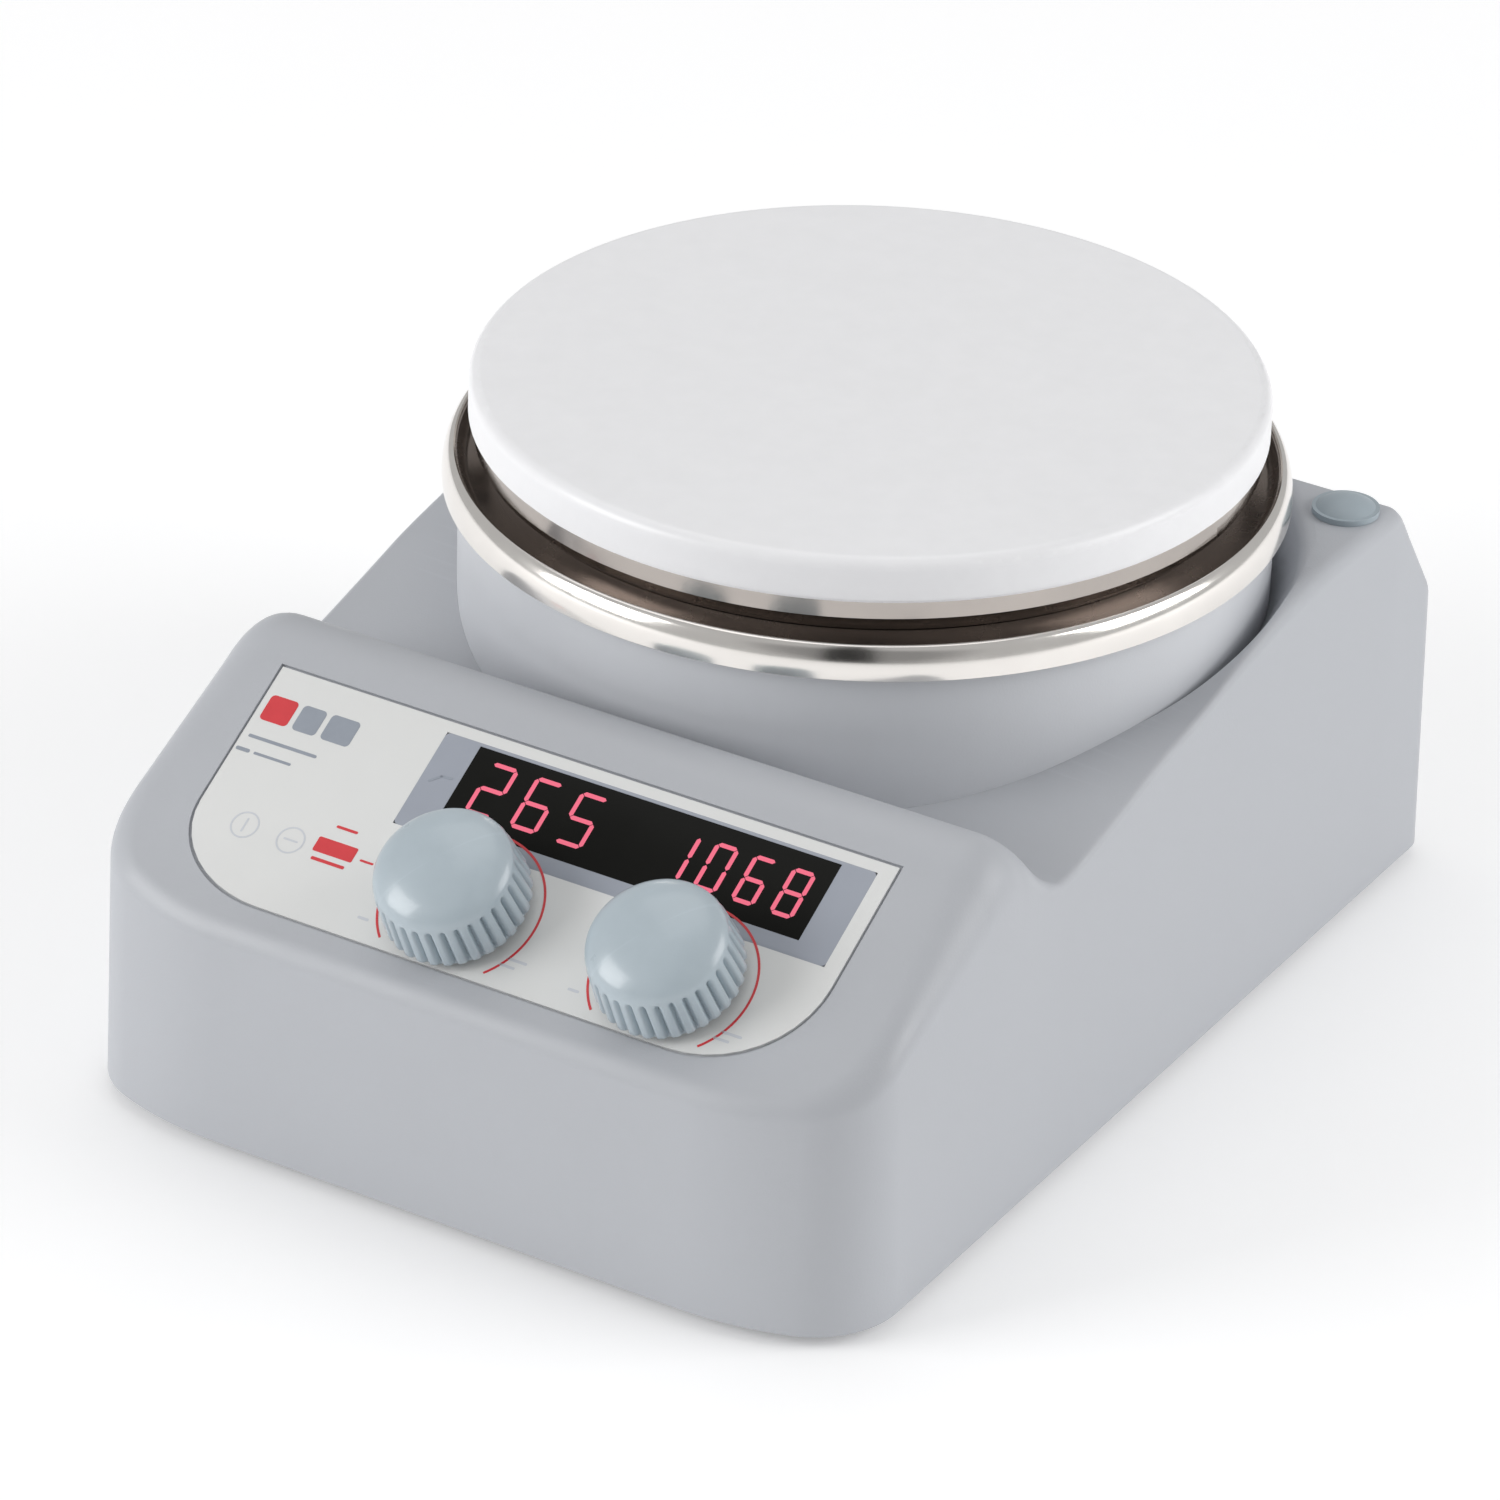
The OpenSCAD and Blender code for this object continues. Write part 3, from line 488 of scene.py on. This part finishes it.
def outline_points(step_angle, step_side):
    """Half of the plan outline: x, y, normal x, normal y, edge rounding. The front corner is two arcs."""
    wide = 56.0
    tight = 16.0
    wide_degrees = 20.0
    turn = math.radians(wide_degrees)
    rear = 6.0
    rear_edge_r = 1.5
    turn_x = HALF_W - tight * (1 - math.sin(turn))
    arc_x = turn_x - wide * math.sin(turn)
    arc_y = Y_FRONT + wide * (1 - math.cos(turn))
    side_start = wide * (1 - math.cos(turn)) + tight * math.cos(turn)
    out = []
    count = int(wide_degrees / step_angle)
    for i in range(count + 1):
        a = turn * i / count
        out.append((
            arc_x + wide * math.sin(a),
            Y_FRONT + wide * (1 - math.cos(a)),
            math.sin(a),
            -math.cos(a),
            corner_edge_r(a),
        ))
    count = int((90.0 - wide_degrees) / step_angle)
    for i in range(1, count + 1):
        a = turn + (math.pi / 2 - turn) * i / count
        out.append((
            turn_x + tight * (math.sin(a) - math.sin(turn)),
            arc_y + tight * (math.cos(turn) - math.cos(a)),
            math.sin(a),
            -math.cos(a),
            corner_edge_r(a),
        ))
    steps = int((DEPTH - rear - side_start) / step_side)
    for i in range(1, steps):
        d = side_start + (DEPTH - rear - side_start) * i / steps
        out.append((HALF_W, Y_FRONT + d, 1.0, 0.0, edge_r(d)))
    count = int(90 / step_angle)
    for i in range(count + 1):
        a = math.radians(i * 90.0 / count)
        out.append((
            HALF_W - rear + rear * math.cos(a),
            Y_REAR - rear + rear * math.sin(a),
            math.cos(a),
            math.sin(a),
            rear_edge_r,
        ))
    return out


def housing_solid(inset, drop, foot, steps, step_angle, step_side):
    """A closed skin like the CAD one, finer: moved in from the walls and down from the top, down to a foot."""
    half = outline_points(step_angle, step_side)
    both = half + [(-x, y, -nx, ny, r) for x, y, nx, ny, r in reversed(half)]
    bm = bmesh.new()
    rings = []
    low = []
    for x, y, nx, ny, _ in both:
        k = inset + DRAFT * max(foot - FOOT_GAP, 0.0)
        low.append(bm.verts.new((x - k * nx, y - k * ny, foot)))
    rings.append(low)
    for s in range(steps + 1):
        a = math.radians(90.0 * s / steps)
        ring = []
        for x, y, nx, ny, r in both:
            r = max(r - inset, 1.0)
            k = inset + DRAFT * DRAFT_H + r * (1.0 - math.cos(a))
            px = x - k * nx
            py = y - k * ny
            ring.append(bm.verts.new((px, py, top_z(py - Y_FRONT) - drop - r * (1.0 - math.sin(a)))))
        rings.append(ring)
    n = len(both)
    for low, high in zip(rings, rings[1:]):
        for i in range(n):
            j = (i + 1) % n
            bm.faces.new((low[i], low[j], high[j], high[i]))
    top = rings[-1]
    bottom = rings[0]
    for i in range(n // 2 - 1):
        bm.faces.new((top[i], top[i + 1], top[n - 2 - i], top[n - 1 - i]))
        bm.faces.new((bottom[i], bottom[n - 1 - i], bottom[n - 2 - i], bottom[i + 1]))
    bmesh.ops.recalc_face_normals(bm, faces=bm.faces)
    return bm


def label_outline(grow=0.0, steps=24):
    """Outline of the control label on the panel: square on top, with two elliptical corners below."""
    x0, x1, s0, s1 = LABEL
    corner_w = 20
    left_h = 15
    right_h = 19
    out = [(x0 - grow, s1 + grow)]
    for i in range(steps + 1):
        a = math.radians(90.0 * i / steps)
        out.append((x0 - grow + corner_w * (1 - math.cos(a)), s0 + left_h - (left_h + grow) * math.sin(a)))
    for i in range(steps + 1):
        a = math.radians(90.0 - 90.0 * i / steps)
        out.append((x1 + grow - corner_w * (1 - math.cos(a)), s0 + right_h - (right_h + grow) * math.sin(a)))
    out.append((x1 + grow, s1 + grow))
    return out


def cutter(bm, matrix):
    """An object that cut() takes away and removes."""
    return new_object("cutter", bm, matrix)


def block(x0, y0, z0, x1, y1, z1):
    """A box between two corners."""
    return prism(rect(x0, y0, x1, y1), z0, z1)


def rod(radius, low, high, steps=96):
    """A cylinder along Z."""
    return lathe([(0, low), (radius, low), (radius, high), (0, high)], steps)


def y_rod(x, y0, z):
    """Matrix that lays a rod made along Z from y0 along +Y."""
    turn = Matrix.Rotation(math.radians(-90), 4, "X")
    return scaled(x, y0, z) @ turn


def inlet_cutter(half_w, half_h, y0, y1):
    """A box round the middle of the power inlet, between two distances from the rear wall."""
    x, z = INLET
    return cutter(block(x - half_w, Y_REAR + y0, z - half_h, x + half_w, Y_REAR + y1, z + half_h), ZERO)


# Lays a slab made flat against the left wall: its outline runs along Y and Z, its thickness along X
SIDE = ZERO @ Matrix(((0, 0, 1, 0), (1, 0, 0, 0), (0, 1, 0, 0), (0, 0, 0, 1)))
switch_pocket = around(SWITCH, 13, 8, 1.2)
window_hole = rect(WINDOW[0] + 1.2, WINDOW[1] + 1.2, WINDOW[2] - 1.2, WINDOW[3] - 1.2)
housing = new_object("housing_skin", housing_solid(0.0, 0.0, FOOT_GAP, 12, 2.5, 1.0), ZERO)
cavity = cutter(housing_solid(WALL, WALL + 0.6, -1.0, 4, 5, 3.0), ZERO)
# Leaves a thick ring under the dip around the collar
cut(cavity, [cutter(rod(DIP_RING_R, 0, 30, 96), scaled(0, PLATE_Y, DIP_Z - 7.6))])
# The rim of the dip rolls over into the deck
dip_cut = [(68.4, -1.65), (73.3, 7.2), (73.65, 7.75), (74.15, 8.2), (74.8, 8.5), (75.6, 8.66), (76.4, 8.72),
           (76.4, 25), (68.4, 25)]
cut(housing, [
    cavity,
    cutter(prism(label_outline(0.5), -0.6, 2.4), panel_matrix(0, 0)),
    cutter(prism(window_hole, -9, 3), panel_matrix(0, 0)),
    cutter(rod(SHAFT_HOLE_R, -9, 3), panel_matrix(KNOB_X[0], KNOB_S)),
    cutter(rod(SHAFT_HOLE_R, -9, 3), panel_matrix(KNOB_X[1], KNOB_S)),
    cutter(rod(COLLAR_R + 0.02, 45, 85, 192), scaled(0, PLATE_Y, 0)),
    cutter(lathe(dip_cut, 192), scaled(0, PLATE_Y, DIP_Z)),
    cutter(prism(switch_pocket, -HALF_W - 1, -HALF_W + 4.4), SIDE),
    inlet_cutter(14, 16.5, -12, 12),
    inlet_cutter(16.1, 18.6, -1, 5),
    cutter(rod(7.1, 0, 20), y_rod(PROBE[0], Y_REAR - 15, PROBE[1])),
    cutter(rod(9.1, 0, 6), y_rod(PROBE[0], Y_REAR - 1, PROBE[1])),
    cutter(rod(4.5, 60, 80), scaled(PLUG[0], PLUG[1], 0)),
])
shade(housing.data, 28)
paint(housing, M_HOUSING)
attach(housing, "base")

# The pocket behind the rocker and the screw bosses belong to the same moulding
frame_outline = around(SWITCH, 15, 10, 1.5)
switch_hole = around(SWITCH, 10.5, 5.5)
well = new_object("switch_well", prism(frame_outline, -HALF_W + 2.6, -HALF_W + 8.0, 0.4), SIDE)
cut(well, [
    cutter(prism(switch_pocket, -HALF_W - 1, -HALF_W + 4.4), SIDE),
    cutter(prism(switch_hole, -HALF_W + 2, -HALF_W + 14), SIDE),
])
shade(well.data, 30)
paint(well, M_HOUSING)
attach(well, "base")

BOSSES = ((-58, -80, 49.0), (58, -80, 49.0), (-64, 65, 62.0), (64, 65, 62.0))
boss_parts = []
for bx, by, top in BOSSES:
    ring = lathe([(1.4, 8), (3.6, 8), (4.0, 8.4), (4.0, top), (1.4, top)], 48)
    boss_parts.append((ring, scaled(bx, by, 0)))
bosses = new_object("screw_bosses", merge(boss_parts))
paint(bosses, M_HOUSING)
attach(bosses, "base")
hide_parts("upper_housing")


# ---------------------------------------------------------------- drip tray: bright skirt, channel darkened with painted shade and reflection
skirt = [(71.2, 82.2), (71.6, 82.15), (71.88, 82.4), (71.88, 83.6), (71.75, 84.8), (71.5, 86.0), (71.1, 87.0),
         (70.7, 87.65), (70.3, 87.98), (69.9, 88.05), (69.6, 87.85), (69.55, 87.45), (70.1, 87.0), (70.7, 85.6),
         (71.05, 84.2), (71.15, 83.2)]
tray_skirt = new_object("tray_skirt", lathe(skirt, 256), scaled(0, PLATE_Y, 0), 40)
paint(tray_skirt, M_POLISHED)
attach(tray_skirt, "base")
channel = [(63.1, 84.2), (67.6, 84.2), (68.5, 84.6), (69.2, 85.6), (69.8, 87.1), (69.7, 87.5), (69.3, 87.4),
           (68.7, 86.1), (68.0, 85.3), (67.4, 84.95), (63.9, 84.95), (63.9, 87.5), (63.1, 87.5)]
tray_channel = new_object("tray_channel", lathe(channel, 256), scaled(0, PLATE_Y, 0), 40)
paint(tray_channel, M_CHANNEL_PAINTED_SHADE)
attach(tray_channel, "base")
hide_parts("drip_tray")


# ---------------------------------------------------------------- knobs
def knob_mesh(ribs=32, per=12):
    """A domed knob with a ribbed skirt, standing on Z, in mm."""
    r = KNOB_R
    rib_low = 2.1
    rib_high = 9.3
    groove_depth = 1.15
    base_r = r - 0.98
    base_z = 10.35
    dome = KNOB_H - base_z
    # Rows of the outside: radius, height, share of the groove depth
    rows = [(r - 0.75, 1.6, 0.0), (r - 0.35, 1.75, 0.5), (r - 0.1, rib_low, 1.0)]
    for i in range(1, 8):
        z = rib_low + (rib_high - rib_low) * i / 7.0
        rows.append((r - 0.1 - 0.6 * i / 7.0, z, 1.0))
    rows += [(r - 0.78, 9.75, 0.7), (r - 0.86, 10.1, 0.25), (base_r, base_z, 0.0)]
    for i in range(1, 19):
        a = math.radians(90.0 * i / 19.0)
        rows.append((base_r * math.cos(a) ** 0.86, base_z + dome * math.sin(a) ** 1.12, 0.0))
    bm = bmesh.new()
    n = ribs * per
    rings = []
    for radius, z, depth in rows:
        ring = []
        for i in range(n):
            a = 2.0 * math.pi * i / n
            wave = 0.5 - 0.5 * math.cos(2.0 * math.pi * (i % per) / per)
            groove = depth * groove_depth * wave ** 3.4
            ring.append(bm.verts.new(((radius - groove) * math.cos(a), (radius - groove) * math.sin(a), z)))
        rings.append(ring)
    for low, high in zip(rings, rings[1:]):
        for i in range(n):
            j = (i + 1) % n
            bm.faces.new((low[i], low[j], high[j], high[i]))
    tip = bm.verts.new((0, 0, KNOB_H))
    last = rings[-1]
    for i in range(n):
        bm.faces.new((last[i], last[(i + 1) % n], tip))
    # Hollow underside with a hub round the spindle
    bore_top = 11.2
    under = [(r - 2.0, 1.6), (r - 2.4, 7.0), (7.0, 8.0), (7.0, 1.6), (5.5, 1.6), (5.5, 3.2), (1.9, 3.2),
             (1.9, bore_top)]
    previous = rings[0]
    for radius, z in under:
        ring = []
        for i in range(n):
            a = 2.0 * math.pi * i / n
            ring.append(bm.verts.new((radius * math.cos(a), radius * math.sin(a), z)))
        for i in range(n):
            j = (i + 1) % n
            bm.faces.new((previous[i], ring[i], ring[j], previous[j]))
        previous = ring
    centre = bm.verts.new((0, 0, bore_top))
    for i in range(n):
        bm.faces.new((previous[i], centre, previous[(i + 1) % n]))
    return bm


for side, x in zip(("left", "right"), KNOB_X):
    knob = new_object(f"{side}_knob_cap", knob_mesh(), panel_matrix(x, KNOB_S), 50)
    paint(knob, M_KNOB)
    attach(knob, f"{side}_turn")
    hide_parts(f"{side}_knob")


# ---------------------------------------------------------------- prints on the label
def stroke(x0, y0, x1, y1, width):
    """A straight printed line with round ends."""
    length = math.hypot(x1 - x0, y1 - y0)
    angle = math.atan2(y1 - y0, x1 - x0)
    pts = rect(-width / 2, -width / 2, length + width / 2, width / 2, width * 0.45, 4)
    turn = Matrix.Rotation(angle, 2)
    return [tuple(turn @ Vector(p) + Vector((x0, y0))) for p in pts]


def arc_band(cx, cy, radius, width, start, end, steps=72):
    """A printed arc band, angles in degrees."""
    outer = []
    inner_pts = []
    for i in range(steps + 1):
        a = math.radians(start + (end - start) * i / steps)
        outer.append((cx + (radius + width / 2) * math.cos(a), cy + (radius + width / 2) * math.sin(a)))
        inner_pts.append((cx + (radius - width / 2) * math.cos(a), cy + (radius - width / 2) * math.sin(a)))
    return outer + inner_pts[::-1]


def strip_prism(outline, low, high):
    """A slab from a band outline: paired outer and inner points."""
    bm = bmesh.new()
    n = len(outline)
    half = n // 2
    bottom = [bm.verts.new((x, y, low)) for x, y in outline]
    top = [bm.verts.new((x, y, high)) for x, y in outline]
    for i in range(half - 1):
        j = n - 1 - i
        bm.faces.new((top[i], top[j], top[j - 1], top[i + 1]))
        bm.faces.new((bottom[i], bottom[i + 1], bottom[j - 1], bottom[j]))
    for i in range(n):
        j = (i + 1) % n
        bm.faces.new((bottom[i], top[i], top[j], bottom[j]))
    return bm


INK_LOW = -0.02
INK_HIGH = 0.035


def ink(outline):
    """A thin printed patch that starts just under the face of the panel."""
    return prism(outline, INK_LOW, INK_HIGH)


def printed(name, solids, mat):
    """One piece on the panel from many thin solids."""
    obj = new_object(name, merge([(s, None) for s in solids]), panel_matrix(0, 0), 20)
    paint(obj, mat)
    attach(obj, "base")
    return obj


# Scale arcs round the knobs, a marked block with its lines, and the corner block
red = []
for x in KNOB_X:
    red.append(strip_prism(arc_band(x, KNOB_S, 14.0, 0.42, -45, 225), INK_LOW, INK_HIGH))
red.append(ink(rect(-36.6, 20.2, -29.0, 23.0, 0.3)))
red.append(ink(rect(-36.0, 18.6, -29.6, 19.2, 0.2)))
red.append(ink(stroke(-27.6, 21.2, -25.4, 21.2, 0.4)))
red.append(ink(stroke(-34.6, 25.6, -31.0, 25.6, 0.5)))
red.append(ink(rect(-58.6, 39.6, -53.2, 44.6, 0.8)))
printed("label_print_red", red, M_RED)

# Two corner blocks, the lines under them, and a tick beside the display
grey = []
grey.append(ink(rect(-52.2, 39.6, -47.6, 44.6, 0.8)))
grey.append(ink(rect(-46.6, 39.6, -41.0, 44.6, 0.8)))
grey.append(ink(stroke(-58.2, 36.2, -45.4, 36.2, 0.6)))
grey.append(ink(stroke(-59.0, 33.4, -57.0, 33.4, 0.7)))
grey.append(ink(stroke(-55.6, 33.4, -48.8, 33.4, 0.5)))
grey.append(ink(stroke(-24.4, 38.6, -22.8, 40.0, 0.45)))
grey.append(ink(stroke(-22.8, 40.0, -20.9, 40.2, 0.45)))
printed("label_print_grey", grey, M_GREY)

# Two ring symbols and small marks at the ends of the scales
pale = []
for cx in (-50.0, -41.0):
    pale.append(strip_prism(arc_band(cx, 20.6, 2.4, 0.3, 0, 359.9), INK_LOW, INK_HIGH))
pale.append(ink(stroke(-50.0, 19.4, -50.0, 21.8, 0.35)))
pale.append(ink(stroke(-42.2, 20.6, -39.8, 20.6, 0.35)))
for x in KNOB_X:
    pale.append(ink(stroke(x - 15.2, 11.6, x - 13.6, 11.6, 0.5)))
    pale.append(ink(stroke(x + 12.6, 13.2, x + 15.8, 13.2, 0.5)))
    pale.append(ink(stroke(x + 11.8, 11.8, x + 14.2, 11.8, 0.5)))
printed("label_print_pale", pale, M_PALE)


# ---------------------------------------------------------------- lit characters
# Which of the seven bars are lit: top, upper right, lower right, bottom, lower left, upper left, middle
SEGMENTS = {"2": "1101101", "6": "1011111", "5": "1011011", "1": "0110000", "0": "1111110", "8": "1111111"}


def segment(a, b, width, gap):
    """A bar with pointed ends between two points."""
    start = Vector(a)
    end = Vector(b)
    along = (end - start).normalized()
    across = Vector((-along.y, along.x))
    half = width / 2
    start = start + along * gap
    end = end - along * gap
    pts = [
        start,
        start + along * half + across * half,
        end - along * half + across * half,
        end,
        end - along * half - across * half,
        start + along * half - across * half,
    ]
    return [(p.x, p.y) for p in pts][::-1]


def character(symbol, cx, cy, w, h, width, gap):
    """The outlines of the lit bars of one seven-segment character."""
    on = SEGMENTS[symbol]
    w = w / 2
    h = h / 2
    p = [(cx - w, cy + h), (cx + w, cy + h), (cx + w, cy), (cx + w, cy - h), (cx - w, cy - h), (cx - w, cy)]
    pairs = [(p[0], p[1]), (p[1], p[2]), (p[2], p[3]), (p[4], p[3]), (p[5], p[4]), (p[0], p[5]), (p[5], p[2])]
    return [segment(a, b, width, gap) for (a, b), lit in zip(pairs, on) if lit == "1"]


# Characters, the middle of each across the panel, their middle up the panel, width and height
READINGS = (
    ("265", (-13.3, -4.7, 3.9), 40.4, 4.5, 9.4),
    ("1068", (22.6, 29.6, 36.7, 43.9), 39.9, 3.6, 8.3),
)
SEGMENT_WIDTH = 0.78
SEGMENT_GAP = 0.08
glow = []
for symbols, centres, cy, w, h in READINGS:
    for symbol, cx in zip(symbols, centres):
        for outline in character(symbol, cx, cy, w, h, SEGMENT_WIDTH, SEGMENT_GAP):
            glow.append(prism(outline, -0.25, 0.02))
digits = printed("display_characters", glow, M_DIGIT)
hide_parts("led_digits")

surround_piece = new_object("surround_frame", prism(rect(*SURROUND, 0.9, 5), -0.6, 0.0, 0.03),
    panel_matrix(0, 0), 30)
cut(surround_piece, [cutter(prism(rect(*WINDOW), -2.0, 2.0), panel_matrix(0, 0))])
shade(surround_piece.data, 30)
paint(surround_piece, M_SURROUND)
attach(surround_piece, "base")
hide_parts("display_surround")

# A whole window, because the characters show through it
glass = new_object("display_glass", prism(rect(*WINDOW), -0.6, 0.0, 0.05), panel_matrix(0, 0), 30)
paint(glass, M_WINDOW)
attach(glass, "base")
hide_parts("display_window")


# ---------------------------------------------------------------- stage: floor, lights, camera
def floor_piece():
    """A plain pale floor that gives off a little light of its own."""
    bm = bmesh.new()
    size = 3.0
    verts = [bm.verts.new((x * size, y * size, 0.0)) for x, y in ((-1, -1), (1, -1), (1, 1), (-1, 1))]
    bm.faces.new(verts)
    obj = new_object("floor", bm)
    mat = material("floor_paint", (0.90, 0.90, 0.905), 0.8, vary=0.004, vary_scale=3, grain=0.02,
        specular=0.05, emission=(1.0, 1.0, 1.0), emission_strength=0.21)
    paint(obj, mat)


floor_piece()


def studio_world():
    """An even white room, darker on the side that faces the front of the object."""
    world = bpy.data.worlds.new("studio")
    world.use_nodes = True
    nodes = world.node_tree.nodes
    links = world.node_tree.links
    background = nodes["Background"]
    background.inputs["Color"].default_value = (1.0, 1.0, 1.0, 1.0)
    # The room is darker behind the camera, which the polished parts show
    heading = nodes.new("ShaderNodeTexCoord")
    toward = nodes.new("ShaderNodeVectorMath")
    toward.operation = "DOT_PRODUCT"
    toward.inputs[1].default_value = (0.47, -0.80, 0.37)
    fade = nodes.new("ShaderNodeMapRange")
    fade.inputs["From Min"].default_value = 0.86
    fade.inputs["From Max"].default_value = 0.95
    fade.inputs["To Min"].default_value = 0.50
    fade.inputs["To Max"].default_value = 0.28
    links.new(heading.outputs["Generated"], toward.inputs[0])
    links.new(toward.outputs["Value"], fade.inputs["Value"])
    # A dark doorway stands a little to the left of there
    split = nodes.new("ShaderNodeSeparateXYZ")
    flat = nodes.new("ShaderNodeCombineXYZ")
    unit = nodes.new("ShaderNodeVectorMath")
    unit.operation = "NORMALIZE"
    facing = nodes.new("ShaderNodeVectorMath")
    facing.operation = "DOT_PRODUCT"
    facing.inputs[1].default_value = (0.449, -0.893, 0.0)
    door = nodes.new("ShaderNodeMapRange")
    door.inputs["From Min"].default_value = 0.9905
    door.inputs["From Max"].default_value = 0.9945
    door.inputs["To Min"].default_value = 1.0
    door.inputs["To Max"].default_value = 0.08
    both_parts = nodes.new("ShaderNodeMath")
    both_parts.operation = "MULTIPLY"
    links.new(heading.outputs["Generated"], split.inputs["Vector"])
    links.new(split.outputs["X"], flat.inputs["X"])
    links.new(split.outputs["Y"], flat.inputs["Y"])
    links.new(flat.outputs["Vector"], unit.inputs[0])
    links.new(unit.outputs["Vector"], facing.inputs[0])
    links.new(facing.outputs["Value"], door.inputs["Value"])
    links.new(fade.outputs["Result"], both_parts.inputs[0])
    links.new(door.outputs["Result"], both_parts.inputs[1])
    links.new(both_parts.outputs["Value"], background.inputs["Strength"])
    bpy.context.scene.world = world


studio_world()


def area(name, place, size, power):
    """A square soft light that points at the middle of the object."""
    light = bpy.data.lights.new(name, "AREA")
    light.shape = "RECTANGLE"
    light.size = size
    light.size_y = size
    light.energy = power
    obj = bpy.data.objects.new(name, light)
    obj.location = place
    middle = Vector((0.0, 0.0, 0.05))
    obj.rotation_euler = (middle - Vector(place)).to_track_quat("-Z", "Y").to_euler()
    bpy.context.scene.collection.objects.link(obj)


area("front_left", (-1.1, -1.15, 0.68), 0.9, 13.8)
area("right", (1.25, 0.5, 0.75), 0.9, 9.3)
area("top", (-0.35, 0.35, 1.5), 1.1, 3.2)


def studio_camera():
    """A long lens from the front right, a little above the object."""
    azimuth = math.radians(30.56)
    elevation = math.radians(29.23)
    roll = math.radians(1.77)
    place = (0.57342, -0.97911, 0.67733)
    back = Vector((
        math.sin(azimuth) * math.cos(elevation),
        -math.cos(azimuth) * math.cos(elevation),
        math.sin(elevation),
    ))
    right = Vector((math.cos(azimuth), math.sin(azimuth), 0.0))
    up = back.cross(right)
    cam_x = math.cos(roll) * right + math.sin(roll) * up
    cam_y = -math.sin(roll) * right + math.cos(roll) * up
    camera_data = bpy.data.cameras.new("camera")
    camera_data.lens = 184.9
    camera_data.sensor_width = 36.0
    camera_data.clip_end = 20.0
    camera = bpy.data.objects.new("camera", camera_data)
    camera.matrix_world = Matrix((
        (cam_x.x, cam_y.x, back.x, place[0]),
        (cam_x.y, cam_y.y, back.y, place[1]),
        (cam_x.z, cam_y.z, back.z, place[2]),
        (0.0, 0.0, 0.0, 1.0),
    ))
    bpy.context.scene.collection.objects.link(camera)
    bpy.context.scene.camera = camera


studio_camera()
bpy.context.scene.view_settings.view_transform = "Standard"
